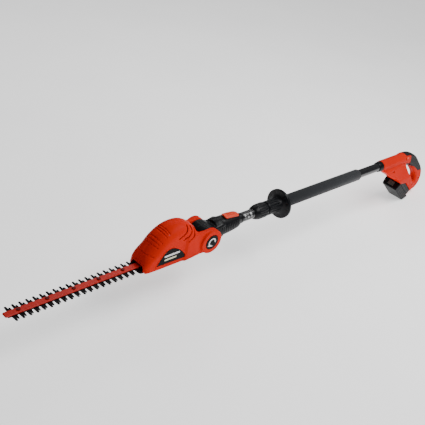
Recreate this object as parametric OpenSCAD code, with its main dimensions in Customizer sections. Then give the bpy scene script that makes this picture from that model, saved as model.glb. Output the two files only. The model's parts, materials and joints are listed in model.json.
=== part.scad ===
// Cordless pole hedge trimmer.
// Modelling frame: X runs along the pole towards the rear handle, the head pivots about a
// Y axis at x = 0, and the pole's axis is z = 0. The whole object is then set down with the
// origin under the middle of its bounding box.

/* [Blade] */
// Distance from one tooth to the next
tooth_pitch = 21.4; // [21:0.1:21.6]
// Number of long teeth on each side
tooth_count = 20; // [16:1:20]
// Reach of the long teeth from the blade's centre line
long_reach = 32.5; // [30:0.5:34]
// Reach of the short teeth from the blade's centre line
short_reach = 26; // [24:0.5:28]
// Total travel of each blade
stroke = 10.7; // [8:0.1:10.7]
// Thickness of each blade
blade_t = 1.8; // [1.5:0.1:1.9]
// Width of the guide bar
bar_w = 22; // [20:1:24]
// Thickness of the guide bar
bar_t = 4; // [3:0.5:4]

/* [Head] */
// Half of the head's width
head_half_w = 42; // [41:0.5:43]
// Radius of the rounded crown
crown_r = 35; // [32:1:36]
// Wall of the plastic shells
wall = 2.8; // [2.4:0.2:3]
// Radius of the pivot knuckles
knuckle_r = 41; // [40:0.5:42]
// Radius of the pivot caps
cap_r = 25; // [22:0.5:25]
// Radius of the half-moon side panel
badge_r = 56.5; // [54:0.5:57]

/* [Drive] */
// Teeth on the drive gear
gear_teeth = 60; // [58:1:60]
// Teeth on the motor pinion
pinion_teeth = 12; // [12:1:13]
// Radius of the motor can
motor_r = 21; // [19:0.5:21]

/* [Pole] */
// Wall of both pole sections
tube_wall = 1.5; // [1.2:0.1:1.5]
// Radius of the foam grip
foam_r = 21.8; // [20:0.2:23]
// Radius of the hand guard disc
guard_r = 52.4; // [52.2:0.1:56]

/* [Handle] */
// Radius of the handle's barrel
barrel_r = 22; // [22:0.5:24]
// Radius of the D-shaped arm, seen from the side
arm_r = 22; // [21:0.5:22]
// Half of the arm's width
arm_half_w = 18; // [18:0.5:19]
// Half of the battery mount's width
mount_half_w = 38.5; // [38.5:0.5:40]

/* [Battery] */
// Half of the battery's width
pack_half_w = 37; // [36:0.5:37]

/* [Hidden] */
$fn = 64;

orange = [0.86, 0.22, 0.11];
black = [0.1, 0.1, 0.11];
steel = [0.6, 0.61, 0.63];
grey = [0.35, 0.37, 0.38];

// Pivot
pivot_z = -8;
drum_r = 40;
drum_half_w = 27.5;
knuckle_in = 28;
knuckle_out = 51;
hub_r = 11;
run_gap = 0.05;

// Blade stack, top down: bar, upper blade, lower blade
bar_top = -32.8;
bar_bottom = bar_top - bar_t;
upper_top = bar_bottom - 0.2;
upper_bottom = upper_top - blade_t;
lower_top = upper_bottom - 0.2;
lower_bottom = lower_top - blade_t;
bar_nose_x = -690;
blade_nose_x = -699;
first_tooth_x = -677;
short_tooth_shift = 9;
bolt_x = [-655, -566, -480, -395, -309];
anchor_x = [-230, -212];
bar_rear_x = -204;

// Drive train
gear_module = 1;
gear_x = -146;
gear_r = gear_teeth * gear_module / 2;
pinion_r = pinion_teeth * gear_module / 2;
motor_x = gear_x + gear_r + pinion_r;
throw = stroke / 2;
eccentric_r = 11;
shaft_r = 3;
gear_bottom = upper_top + 0.4;
gear_top = gear_bottom + 7.8;
plate_bottom = gear_top + 1.4;
plate_top = -22;
can_top = 40;
cover_top = -44;
post_places = [[-190, 22], [-190, -22], [-86, 22], [-86, -22]];

// Head outline, as centres of the crown's round stretches seen from the side
crown_centres = [[-121, 44], [-158, 37], [-193, 4], [-208, -14], [-97, 33], [-80, 18]];
head_bottom = -48;
head_front_x = -255;
head_rear_x = -70;
front_corner_r = 14;
head_screw_places = [[-222, -6], [-170, 58], [-76, 42], [-81, -6]];

// Yoke
yoke_profile = [[43, 29], [55, 31.5], [65, 32], [90, 31.5], [115, 29.8], [140, 27], [152, 23.8],
  [160, 20], [166, 18.4], [174, 18]];
tongue = [[0, 33], [10, 32], [42, 19], [66, 24], [66, -31], [40, -34], [0, -47]];
yoke_wall = 3;
lock_travel = 8;
yoke_screw_places = [[72, 20], [72, -24], [140, -19]];

// Pole
rear_tube_r = 16.6;
front_tube_r = 16.5;
front_tube_start = 150;
front_tube_end = 250;
socket_start = 258;
rear_tube_start = 345;
tube_end_x = 1012;
foam_start = 375;
foam_end = 817;

// Handle
barrel_start = 968;
arm_path = [[1120, 0], [1158, -4], [1197, -21], [1233, -52], [1268, -86], [1284, -116],
  [1288, -139], [1276, -156], [1254, -161], [1226, -150]];
web = [[1100, 5], [1128, -10], [1138, -26], [1146, -44], [1162, -65], [1184, -85],
  [1199, -101], [1220, -119], [1240, -127], [1256, -139], [1256, -183], [1228, -172],
  [1212, -158], [1150, -100]];
flare_top = [[976, -20], [976, -2], [1134, -2], [1140, -30]];
flare_bottom = [[1098, -92], [1104, -99], [1212, -158], [1220, -140], [1190, -104]];
overmold_zone = [[1118, 40], [1124, 17], [1160, 13], [1168, -12], [1178, -46], [1204, -47],
  [1230, -62], [1258, -82], [1330, -92], [1330, 40]];
overmold_t = 2.5;
handle_screw_places = [[1046, -34], [1116, -14], [1250, -150], [1286, -128], [1206, -126]];
lock_off_place = [1130, 8];

// Battery, in its own frame: u along the base from the front, w up from the base
pack_origin = [1090, -125];
pack_tilt = 41;
pack_length = 112;
pack_split = 31;
pack_top = 54.5;
tower_top = 73;
pack_profile = [[4, 0], [pack_length - 3, 0], [pack_length, 2.5], [125, 28], [125, pack_split],
  [-1, pack_split], [0, 4]];
cell_r = 9.1;

// Placement
axis_height = -(pack_origin[1] - pack_length * sin(pack_tilt) + 2.5 * cos(pack_tilt));
rear_x = 1288 + arm_r;
middle_x = (blade_nose_x + rear_x) / 2;

module placed() {
  translate([-middle_x, 0, axis_height]) children();
}

// Round bars along each axis
module rod_x(x0, x1, r) {
  translate([x0, 0, 0]) rotate([0, 90, 0]) cylinder(r = r, h = x1 - x0);
}

module rod_y(y0, y1, r) {
  translate([0, y0, 0]) rotate([-90, 0, 0]) cylinder(r = r, h = y1 - y0);
}

module rod_z(z0, z1, r) {
  translate([0, 0, z0]) cylinder(r = r, h = z1 - z0);
}

// A box given by its two corners
module box(low, high) {
  translate(low) cube(high - low);
}

// Side outline (x, z) given thickness from y0 to y1
module side_slab(y0, y1) {
  translate([0, y1, 0]) rotate([90, 0, 0]) linear_extrude(height = y1 - y0) children();
}

// Plan outline (x, y) given thickness from z0 to z1
module plan_slab(z0, z1) {
  translate([0, 0, z0]) linear_extrude(height = z1 - z0) children();
}

// Profile of [x, radius] points turned about the pole's axis
module turned(profile) {
  rotate([0, 90, 0]) rotate_extrude() polygon([for (p = profile) [p[1], p[0]]]);
}

// A closed [x, radius] profile from an outside line and one inside radius
function sleeve(line, r) = concat(line, [[line[len(line) - 1][0], r], [line[0][0], r]]);

module half_space(side) {
  translate([-1000, side < 0 ? -200 : 0, -400]) cube([2600, 200, 800]);
}

// Head ------------------------------------------------------------------------------------

module crown(inset) {
  hull() {
    for (c = crown_centres) {
      for (s = [-1, 1]) {
        translate([c[0], s * (head_half_w - crown_r), c[1]])
          sphere(r = crown_r - inset, $fn = 28);
      }
    }
    for (x = [head_front_x + front_corner_r, head_rear_x - front_corner_r]) {
      for (s = [-1, 1]) {
        translate([x, s * (head_half_w - front_corner_r), 0])
          rod_z(head_bottom + inset, -30, front_corner_r - inset, $fn = 28);
      }
    }
  }
}

module knuckle_arm(side, inset) {
  inner = knuckle_in + inset;
  hull() {
    translate([0, 0, pivot_z])
      rod_y(side > 0 ? inner : inset - knuckle_out, side > 0 ? knuckle_out - inset : -inner,
        knuckle_r - inset, $fn = 48);
    box([-96, side > 0 ? inner : inset - head_half_w, head_bottom + 3 + inset],
      [-86, side > 0 ? head_half_w - inset : -inner, 34 - inset]);
  }
}

module drum_room(grow) {
  translate([0, 0, pivot_z]) rod_y(-knuckle_in - grow, knuckle_in + grow, 46.5 + grow);
}

module badge_outline(r) {
  intersection() {
    translate([-161.5, -33]) circle(r = r);
    translate([-230, -31]) square([140, 70]);
  }
}

// Arched opening at the head's lower front, where the blades leave
module mouth() {
  translate([-280, 0, 0]) rotate([90, 0, 90]) linear_extrude(height = 50)
    polygon([[-31, -52], [31, -52], [29, -40], [14, -17], [-14, -17], [-29, -40]]);
}

module vent_slots() {
  for (i = [0 : 2]) {
    r = 30 + 12 * i;
    intersection() {
      translate([-132 + 4 * i, 0, 46 - 4 * i]) difference() {
        rod_y(-60, 60, r + 2);
        rod_y(-61, 61, r - 2);
      }
      for (s = [-1, 1]) {
        side_slab(s > 0 ? 24 : -60, s > 0 ? 60 : -24)
          polygon([[-120, 44], [-40, 78], [-30, 20], [-60, -4]]);
      }
    }
  }
}

module head_shell(side) {
  color(orange) difference() {
    intersection() {
      half_space(side);
      union() {
        difference() {
          union() {
            crown(0);
            knuckle_arm(side, 0);
          }
          difference() {
            union() {
              crown(wall);
              knuckle_arm(side, wall);
            }
            drum_room(wall);
          }
        }
        intersection() {
          crown(0);
          for (p = head_screw_places) {
            translate([p[0], 0, p[1]]) rod_y(-45, 45, 5);
          }
        }
        translate([0, 0, pivot_z]) {
          rod_y(side > 0 ? knuckle_in : -46, side > 0 ? 46 : -knuckle_in, 15);
          rod_y(side > 0 ? 43 : -46, side > 0 ? 46 : -43, cap_r + 3);
        }
      }
    }
    drum_room(0);
    mouth();
    vent_slots();
    side_slab(side > 0 ? 40.4 : -60, side > 0 ? 60 : -40.4) badge_outline(badge_r);
    translate([0, 0, pivot_z]) {
      rod_y(-60, 60, hub_r + run_gap);
      rod_y(side > 0 ? 46 : -60, side > 0 ? 60 : -46, cap_r + run_gap);
    }
    box([-256, -33.2, head_bottom - 2], [-80, 33.2, cover_top + 0.2]);
    for (p = head_screw_places) {
      translate([p[0], 0, p[1]]) {
        rod_y(-60, -26, 4);
        rod_y(-26.5, 26, 1.8);
      }
    }
  }
}

module head_shell_left() { head_shell(-1); }

module head_shell_right() { head_shell(1); }

module head_screws() {
  color(steel) for (p = head_screw_places) {
    translate([p[0], 0, p[1]]) {
      rod_y(-29, -26.4, 3.6);
      rod_y(-26.5, 24, 1.6);
    }
  }
}

module badge(side) {
  color(black) side_slab(side > 0 ? 40.4 : -42.9, side > 0 ? 42.9 : -40.4)
    badge_outline(badge_r - 0.3);
}

module badge_left() { badge(-1); }

module badge_right() { badge(1); }

module pivot_hub() {
  color(steel) translate([0, 0, pivot_z]) difference() {
    rod_y(-46, 46, hub_r);
    rod_y(-47, 47, 4.15);
  }
}

module pivot_bolt() {
  color(steel) translate([0, 0, pivot_z]) {
    rod_y(-46, 46, 4.1);
    rod_y(46, 49.4, 8);
    translate([0, -49.4, 0]) rotate([-90, 0, 0]) cylinder(r = 8, h = 3.4, $fn = 6);
  }
}

module pivot_cap(side) {
  color(black) translate([0, 0, pivot_z]) difference() {
    rod_y(side > 0 ? 46 : -52, side > 0 ? 52 : -46, cap_r);
    rod_y(side > 0 ? 45 : -50, side > 0 ? 50 : -45, cap_r - 4);
  }
}

module pivot_cap_left() { pivot_cap(-1); }

module pivot_cap_right() { pivot_cap(1); }

module detent_plate() {
  color(steel) translate([0, 0, pivot_z]) difference() {
    rod_y(-3, 3, 30);
    rod_y(-4, 4, hub_r);
    for (a = [-90, -45, 0, 45, 90]) {
      rotate([0, a, 0]) box([23, -4, -4.4], [35, 4, 4.4]);
    }
  }
}

// Gearcase ---------------------------------------------------------------------------------

module gearcase() {
  color(steel) difference() {
    union() {
      plan_slab(plate_bottom, plate_top) {
        translate([-240, -14]) square([60, 28]);
        translate([-198, -30]) square([122, 60]);
      }
      plan_slab(bar_top, plate_bottom) translate([-240, -13]) square([38, 26]);
      for (p = post_places) {
        translate([p[0], p[1], 0]) rod_z(cover_top + 0.1, plate_bottom, 4.5);
      }
    }
    translate([gear_x, 0, 0]) rod_z(-60, 0, shaft_r);
    translate([motor_x, 0, 0]) rod_z(-60, 0, 9);
    for (p = post_places) {
      translate([p[0], p[1], 0]) rod_z(-60, -30, 1.65);
    }
    for (x = anchor_x) {
      translate([x, 0, 0]) rod_z(-60, -25, 2.55);
    }
  }
}

module gearcase_cover() {
  color(black) difference() {
    union() {
      box([-254, -33, head_bottom + 0.6], [-80.2, 33, cover_top]);
      plan_slab(head_bottom + 1, -43) {
        translate([-258, -29.5]) square([18, 59]);
        for (s = [-1, 1]) {
          translate([-258, s * 20.5]) circle(r = 9);
        }
        translate([-267, -20.5]) square([19, 41]);
      }
      translate([gear_x, 0, 0]) rod_z(cover_top - 1, cover_top + 1.4, 7);
    }
    translate([gear_x, 0, 0]) rod_z(cover_top - 2, 0, shaft_r);
    for (p = post_places) {
      translate([p[0], p[1], 0]) {
        rod_z(-60, -30, 1.8);
        rod_z(-60, cover_top - 1.4, 3.6);
      }
    }
  }
}

module gearcase_screws() {
  color(steel) for (p = post_places) {
    translate([p[0], p[1], 0]) {
      rod_z(cover_top - 3, cover_top - 1.4, 3.4);
      rod_z(cover_top - 1.6, -32, 1.6);
    }
  }
}

module gear_shaft() {
  color(steel) translate([gear_x, 0, 0]) rod_z(cover_top - 2, plate_top, shaft_r);
}

// Blades and bar ---------------------------------------------------------------------------

module blade_bar() {
  color([0.82, 0.2, 0.17]) difference() {
    plan_slab(bar_bottom, bar_top) {
      translate([bar_nose_x + bar_w / 2, 0]) circle(r = bar_w / 2);
      translate([bar_nose_x + bar_w / 2, -bar_w / 2])
        square([bar_rear_x - bar_nose_x - bar_w / 2, bar_w]);
    }
    for (x = bolt_x) {
      translate([x, 0, 0]) rod_z(-60, 0, 3.05);
    }
    for (x = anchor_x) {
      translate([x, 0, 0]) rod_z(-60, 0, 2.6);
    }
  }
}

module bar_bolts() {
  color(grey) for (x = bolt_x) {
    translate([x, 0, 0]) {
      rod_z(lower_bottom - 3.6, bar_top, 3);
      rod_z(bar_top, bar_top + 3, 5.4);
      difference() {
        rod_z(lower_bottom - 3.2, lower_bottom - 0.2, 6, $fn = 6);
        rod_z(-60, 0, 3.1);
      }
    }
  }
  color(grey) for (x = anchor_x) {
    translate([x, 0, 0]) {
      rod_z(lower_bottom - 0.4, -25.2, 2.5);
      rod_z(lower_bottom - 2.2, lower_bottom - 0.4, 4);
    }
  }
}

// One side's outline, in order along the blade: the teeth taper from the root to a
// chamfered tip
function tooth_row(reach, root_w, tip_w, shift) = [for (i = [0 : tooth_count - 1])
  let (x = first_tooth_x + shift + i * tooth_pitch)
  for (p = [[-root_w / 2, 11], [-tip_w / 2, reach - 1.5], [1 - tip_w / 2, reach],
    [tip_w / 2 - 1, reach], [tip_w / 2, reach - 1.5], [root_w / 2, 11]]) [x + p[0], p[1]]];

function mirrored(row) = [for (i = [len(row) - 1 : -1 : 0]) [row[i][0], -row[i][1]]];

module blade(z0, z1, reach, root_w, tip_w, shift, nose_x) {
  slot_x = eccentric_r + 2 * throw + 0.3;
  slot_y = eccentric_r + throw + 0.3;
  row = concat([[nose_x, 3], [nose_x + 12, 11]], tooth_row(reach, root_w, tip_w, shift),
    [[gear_x - 20, 11]]);
  difference() {
    union() {
      plan_slab(z0, z1) polygon(concat(row, mirrored(row)));
      box([gear_x - slot_x - 5, -slot_y - 4, z0], [gear_x + slot_x + 5, slot_y + 4, z1]);
    }
    box([gear_x - slot_x, -slot_y, -60], [gear_x + slot_x, slot_y, 0]);
    for (x = concat(bolt_x, anchor_x)) {
      box([x - throw - 3.4, -3.25, -60], [x + throw + 3.4, 3.25, 0]);
    }
  }
}

module upper_blade() {
  color(grey) blade(upper_bottom, upper_top, long_reach, 9, 6, 0, blade_nose_x);
}

module lower_blade() {
  color(steel) blade(lower_bottom, lower_top, short_reach, 8, 5, short_tooth_shift,
    blade_nose_x + 3);
}

// Involute gear outline, with the addendum shortened and some backlash
function involute(rb, t) = [rb * (cos(t) + t * PI / 180 * sin(t)),
  rb * (sin(t) - t * PI / 180 * cos(t))];
function turn(p, a) = [p[0] * cos(a) - p[1] * sin(a), p[0] * sin(a) + p[1] * cos(a)];
function roll_angle(rb, r) = sqrt(max(0, r * r / (rb * rb) - 1)) * 180 / PI;
function inv_angle(rb, r) = roll_angle(rb, r) - acos(min(1, rb / r));

module gear_outline(teeth, backlash, phase) {
  pitch_r = teeth * gear_module / 2;
  rb = pitch_r * cos(25);
  tip_r = pitch_r + 0.8 * gear_module;
  root_r = pitch_r - 1.15 * gear_module;
  half = 90 / teeth - backlash / pitch_r * 90 / PI + inv_angle(rb, pitch_r);
  start_r = max(rb, root_r);
  flank = [for (i = [0 : 3]) let (r = start_r + (tip_r - start_r) * i / 3)
    turn(involute(rb, roll_angle(rb, r)), -half)];
  foot = root_r < rb ? [turn([root_r, 0], -half)] : [];
  side = concat(foot, flank);
  tooth = concat(side, [for (i = [len(side) - 1 : -1 : 0]) [side[i][0], -side[i][1]]]);
  polygon([for (k = [0 : teeth - 1]) for (p = tooth) turn(p, k * 360 / teeth + phase)]);
}

module drive_gear() {
  color(steel) translate([gear_x, 0, 0]) difference() {
    plan_slab(gear_bottom, gear_top) gear_outline(gear_teeth, 0.12, 0);
    rod_z(-60, 0, shaft_r + run_gap);
  }
}

module eccentric(offset, z0, z1) {
  color(grey) translate([gear_x, 0, 0]) difference() {
    translate([offset, 0, 0]) rod_z(z0, z1, eccentric_r);
    rod_z(-60, 0, shaft_r + run_gap);
  }
}

module upper_eccentric() { eccentric(throw, upper_bottom - 0.05, gear_bottom); }

module lower_eccentric() { eccentric(-throw, lower_bottom, upper_bottom - 0.05); }

// Motor ------------------------------------------------------------------------------------

module motor_can() {
  color(steel) translate([motor_x, 0, 0]) difference() {
    rod_z(plate_top, can_top, motor_r);
    rod_z(plate_top + 1.8, can_top + 1, motor_r - 1.6);
    rod_z(plate_top - 1, plate_top + 3, 5);
  }
}

module motor_end_cap() {
  color(black) translate([motor_x, 0, 0]) difference() {
    union() {
      rod_z(can_top, can_top + 4, motor_r);
      rod_z(can_top, can_top + 9, 9);
    }
    rod_z(can_top - 1, can_top + 10, 5);
    for (s = [-1, 1]) {
      box([-3, s * 14 - 3, can_top - 1], [3, s * 14 + 3, can_top + 5]);
    }
  }
}

module motor_magnets() {
  color(grey) translate([motor_x, 0, 0]) difference() {
    rod_z(-14, 32, motor_r - 1.6);
    rod_z(-15, 33, 16.3);
    box([-30, -5, -16], [30, 5, 34]);
  }
}

module motor_bearings() {
  color([0.7, 0.5, 0.25]) translate([motor_x, 0, 0]) difference() {
    union() {
      rod_z(plate_top, plate_top + 5, 5);
      rod_z(can_top + 3, can_top + 9, 5);
    }
    rod_z(-30, 60, 2.5 + run_gap);
  }
}

module armature_core() {
  color(steel) translate([motor_x, 0, 0]) difference() {
    rod_z(-12, 28, 15.8);
    rod_z(-13, 29, 2.5);
    for (a = [0 : 60 : 300]) {
      rotate([0, 0, a]) box([7, -2.4, -13], [14, 2.4, 29]);
      rotate([0, 0, a]) box([13, -0.8, -13], [17, 0.8, 29]);
    }
  }
}

module commutator() {
  color([0.75, 0.45, 0.25]) translate([motor_x, 0, 0]) difference() {
    rod_z(28, 38, 6);
    rod_z(27, 39, 2.5);
  }
}

module motor_shaft() {
  color(steel) translate([motor_x, 0, 0]) rod_z(gear_bottom, can_top + 10, 2.5);
}

module motor_pinion() {
  color(steel) translate([motor_x, 0, 0]) difference() {
    plan_slab(gear_bottom, gear_top + 0.6)
      gear_outline(pinion_teeth, 0.12, 180 + 180 / pinion_teeth);
    rod_z(-60, 0, 2.5);
  }
}

// Yoke and pivot lock ----------------------------------------------------------------------

module yoke_body(inset) {
  translate([0, 0, pivot_z]) rod_y(-drum_half_w + inset, drum_half_w - inset, drum_r - inset);
  side_slab(-drum_half_w + inset, drum_half_w - inset) intersection() {
    polygon(tongue);
    translate([-1, -60]) square([68, 92 - inset]);
  }
  turned(sleeve([for (p = yoke_profile) [p[0], p[1] - inset]], 0));
}

module yoke_cavity() {
  translate([0, 0, pivot_z])
    rod_y(-drum_half_w + yoke_wall, drum_half_w - yoke_wall, drum_r - yoke_wall);
  side_slab(-drum_half_w + yoke_wall, drum_half_w - yoke_wall)
    polygon([[0, 28], [10, 27], [42, 14], [66, 14], [66, -24], [30, -28], [0, -38]]);
  turned(sleeve([for (p = yoke_profile) if (p[0] > 50 && p[0] < 150) [p[0], p[1] - yoke_wall]], 0));
  rod_x(138, 200, front_tube_r);
}

module yoke_shell(side) {
  color(black) difference() {
    intersection() {
      half_space(side);
      union() {
        difference() {
          yoke_body(0);
          yoke_cavity();
        }
        intersection() {
          yoke_body(0);
          for (p = yoke_screw_places) {
            translate([p[0], 0, p[1]]) rod_y(-40, 40, 4.5);
          }
        }
      }
    }
    translate([0, 0, pivot_z]) rod_y(-40, 40, hub_r + run_gap);
    box([103, -4.5, 0], [124 + lock_travel + 1, 4.5, 40]);
    for (p = yoke_screw_places) {
      translate([p[0], 0, p[1]]) {
        rod_y(-60, -10, 3.6);
        rod_y(-10.5, 10, 1.8);
      }
    }
  }
}

module yoke_shell_left() { yoke_shell(-1); }

module yoke_shell_right() { yoke_shell(1); }

module yoke_screws() {
  color(steel) for (p = yoke_screw_places) {
    translate([p[0], 0, p[1]]) {
      rod_y(-13, -10.4, 3.4);
      rod_y(-10.5, 9, 1.6);
    }
  }
}

module lock_button() {
  skin = [[88, 32.1], [115, 30.4], [140, 27.6], [152, 24.6]];
  color(orange) {
    intersection() {
      turned(concat([for (i = [0 : 3]) [skin[i][0], skin[i][1] + (i == 0 || i == 3 ? 1.5 : 4.6)]],
        [for (i = [3 : -1 : 0]) skin[i]]));
      box([80, -14, 0], [160, 14, 60]);
    }
    box([104, -4, -3.9], [124, 4, 32.5]);
  }
}

module lock_pawl() {
  color(steel) box([30.6, -3, -12], [124, 3, -4]);
}

module lock_spring() {
  color(steel) translate([0, 0, pivot_z]) difference() {
    rod_x(124.1, 139, 4);
    rod_x(124, 140, 2.6);
  }
}

// Front pole section -----------------------------------------------------------------------

module front_tube() {
  color(black) difference() {
    rod_x(front_tube_start, front_tube_end, front_tube_r);
    rod_x(front_tube_start - 1, front_tube_end + 1, front_tube_r - tube_wall);
  }
}

module neck_label() {
  color([0.85, 0.85, 0.85]) intersection() {
    difference() {
      rod_x(178, 222, front_tube_r + 0.3);
      rod_x(177, 223, front_tube_r);
    }
    rotate([40, 0, 0]) box([170, -20, 6], [230, 20, 30]);
  }
}

module coupling_spigot() {
  color(black) difference() {
    union() {
      rod_x(232, 250, front_tube_r - tube_wall);
      rod_x(250, 256, 20);
      rod_x(256, 326, 14);
    }
    rod_x(231, 300, 8);
    rod_x(306, 330, 8);
    box([270, -3, 11], [330, 3, 15]);
    for (s = [-1, 1]) {
      translate([0, s * 5, 0]) rod_x(290, 310, 1.5);
    }
  }
}

module plug_pins() {
  color([0.75, 0.6, 0.25]) for (s = [-1, 1]) {
    translate([0, s * 5, 0]) rod_x(296, 334, 1.5);
  }
}

module coupling_collar() {
  outside = [[230, 18.5], [235, 21.5], [246, 25.4], [256, 27], [284, 27], [290, 25.4]];
  color(black) difference() {
    turned(sleeve(outside, front_tube_r + 0.08));
    rod_x(244, 300, 20.3);
    rod_x(257, 300, 22.3);
    for (a = [0 : 20 : 340]) {
      rotate([a, 0, 0]) translate([0, 0, 28]) rod_x(252, 288, 1.8);
    }
  }
}

// Rear pole section ------------------------------------------------------------------------

module coupling_socket() {
  color(black) difference() {
    rod_x(socket_start, 362, 22);
    rod_x(socket_start - 1, 336, 14.1);
    rod_x(330, rear_tube_start + 1, 10);
    rod_x(rear_tube_start, 370, rear_tube_r);
  }
}

module hand_guard() {
  sleeve_out = [[293, 24.2], [297, 25.4], [352, 25.4]];
  disc = [[358, 30], [362, guard_r - 4], [362, guard_r - 1], [364, guard_r], [371, guard_r],
    [374, guard_r - 3], [374, 24], [366, 24]];
  color(black) difference() {
    turned(concat(sleeve_out, disc, [[366, rear_tube_r], [362, rear_tube_r], [362, 22],
      [293, 22]]));
    for (a = [0 : 15 : 345]) {
      rotate([a, 0, 0]) translate([0, 0, 26.2]) rod_x(300, 346, 1.7);
    }
  }
}

module rear_tube() {
  color([0.12, 0.12, 0.13]) difference() {
    rod_x(rear_tube_start, tube_end_x, rear_tube_r);
    rod_x(rear_tube_start - 1, tube_end_x + 1, rear_tube_r - tube_wall);
  }
}

module foam_grip() {
  color([0.3, 0.31, 0.33]) difference() {
    rod_x(foam_start, foam_end, foam_r);
    rod_x(foam_start - 1, foam_end + 1, rear_tube_r);
  }
}

module tube_ferrule() {
  color(black) turned(sleeve([[944, 18.2], [948, 19.6], [967.8, 20.6]], rear_tube_r));
}

module power_wires() {
  color([0.15, 0.15, 0.5]) for (s = [-1, 1]) {
    translate([0, s * 3, -4]) rod_x(340, 1140, 1.6);
  }
}

// Rear handle ------------------------------------------------------------------------------

// The D's arm as a side outline: round ends joined by straight stretches
module arm_outline(r) {
  for (i = [0 : len(arm_path) - 1]) {
    translate(arm_path[i]) circle(r = r);
  }
  for (i = [0 : len(arm_path) - 2]) {
    a = arm_path[i];
    b = arm_path[i + 1];
    n = [a[1] - b[1], b[0] - a[0]] / norm(b - a) * r;
    polygon([a + n, b + n, b - n, a - n]);
  }
}

module arm(r, half_w) {
  side_slab(-half_w, half_w) arm_outline(r);
}

// The arm's outer form: full depth in the middle and a step down at both sides
module arm_form(inset) {
  arm(arm_r - inset, arm_half_w - 3 - inset);
  arm(arm_r - 1.5 - inset, arm_half_w - inset);
}

module web_form() {
  side_slab(-arm_half_w, arm_half_w) polygon(web);
}

module flare(inset) {
  hull() {
    side_slab(-barrel_r + 1 + inset, barrel_r - 1 - inset) polygon(flare_top);
    side_slab(-mount_half_w + inset, mount_half_w - inset) polygon(flare_bottom);
  }
}

// Everything below is placed in the battery's own frame
module pack_frame() {
  translate([pack_origin[0], 0, pack_origin[1]]) rotate([0, pack_tilt, 0]) children();
}

// Space that the battery takes up below and inside the mount
module pack_room() {
  pack_frame() {
    side_slab(-70, 70)
      polygon([[-40, 33], [-1, 33], [33, 55.3], [140, 56], [140, -40], [-40, -40]]);
    box([-1.5, -37.1, 20], [112.5, 37.1, 55.3]);
    box([10.5, -17.6, 50], [63.5, 17.6, 83]);
  }
}

module handle_form() {
  rod_x(barrel_start, 1128, barrel_r);
  arm_form(0);
  web_form();
  flare(0);
}

module handle_hollow() {
  rod_x(984, 1126, barrel_r - wall);
  arm(arm_r - overmold_t - wall, arm_half_w - overmold_t - wall);
  difference() {
    flare(wall);
    pack_frame() {
      box([-60, -60, -60], [160, 60, 58.2]);
      box([8, -20, 50], [66, 20, 86]);
    }
    side_slab(-60, 60) polygon([[960, -60], [960, -16], [990, -16], [1110, -96]]);
    side_slab(-60, 60)
      polygon([[1128, 10], [1135, -26], [1143, -45], [1159, -67], [1181, -88], [1215, -118],
        [1230, -100], [1180, 10]]);
  }
}

module trigger_slot() {
  box([1144, -9, -50], [1197, 9, -11]);
}

module overmold_form() {
  difference() {
    intersection() {
      arm_form(0);
      side_slab(-60, 60) polygon(overmold_zone);
    }
    arm(arm_r - overmold_t, arm_half_w - overmold_t);
    trigger_slot();
  }
}

module handle_shell(side) {
  color(orange) difference() {
    intersection() {
      half_space(side);
      union() {
        difference() {
          handle_form();
          handle_hollow();
        }
        intersection() {
          handle_form();
          for (p = handle_screw_places) {
            translate([p[0], 0, p[1]]) rod_y(-40, 40, 5);
          }
        }
      }
    }
    rod_x(900, 1012, rear_tube_r);
    pack_room();
    overmold_form();
    trigger_slot();
    translate([lock_off_place[0], 0, lock_off_place[1]]) rod_y(-60, 60, 6.6);
    for (p = handle_screw_places) {
      translate([p[0], 0, p[1]]) {
        rod_y(-60, -11, 3.7);
        rod_y(-11.5, 11, 1.8);
      }
    }
  }
}

module handle_shell_left() { handle_shell(-1); }

module handle_shell_right() { handle_shell(1); }

module grip_overmold() {
  color(black) overmold_form();
}

module handle_screws() {
  color(steel) for (p = handle_screw_places) {
    translate([p[0], 0, p[1]]) {
      rod_y(-14, -11.4, 3.5);
      rod_y(-11.5, 10, 1.6);
    }
  }
}

module switch_module() {
  color(black) {
    box([1140, -12, -9], [1168, 12, 6]);
    box([1159, -3, -10.4], [1164, 3, -9]);
  }
}

module terminal_block() {
  color(black) pack_frame() box([22, -13, tower_top + 0.3], [52, 13, 83]);
}

module trigger() {
  color([0.16, 0.13, 0.13]) {
    side_slab(-8, 8)
      polygon([[1148, -14], [1170, -14], [1190, -22], [1193, -30], [1189, -39], [1174, -43],
        [1158, -39], [1148, -30], [1145, -22]]);
    translate([1150, 0, -18]) rod_y(-8.8, 8.8, 2.5);
  }
}

module lock_off_button() {
  color(orange) translate([lock_off_place[0], 0, lock_off_place[1]]) rod_y(-24, 22, 6.4);
}

// Battery ----------------------------------------------------------------------------------

module battery_case() {
  color(black) pack_frame() difference() {
    side_slab(-pack_half_w, pack_half_w) polygon(pack_profile);
    box([4.6, -pack_half_w + 2.5, 2.6], [pack_length - 3, pack_half_w - 2.5, pack_split + 1]);
    box([-4, -14, 9], [2.1, 14, 28]);
  }
}

module battery_cover() {
  color(black) pack_frame() difference() {
    union() {
      box([0, -36.6, pack_split], [111.5, 36.6, pack_top]);
      box([12, -17, pack_top], [62, 17, tower_top]);
    }
    box([3, -34, pack_split - 1], [104, 34, pack_top - 2.6]);
    box([14.5, -14.5, 40], [59.5, 14.5, tower_top - 2.6]);
    box([106, -14, 39], [113, 14, 53]);
  }
}

module battery_cells() {
  color([0.25, 0.4, 0.6]) pack_frame() for (i = [0 : 4]) {
    for (w = [12.4, 32.6]) {
      translate([14.5 + i * 19.4, 0, w]) rod_y(-32, 32, cell_r);
    }
  }
}

module battery_contacts() {
  color([0.75, 0.6, 0.25]) pack_frame() for (y = [-8, 0, 8]) {
    box([24, y - 1, 56], [48, y + 1, tower_top - 2.6]);
  }
}

module battery_latch_front() {
  color(grey) pack_frame() box([-3, -13.5, 9.5], [0.4, 13.5, 27.5]);
}

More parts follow.
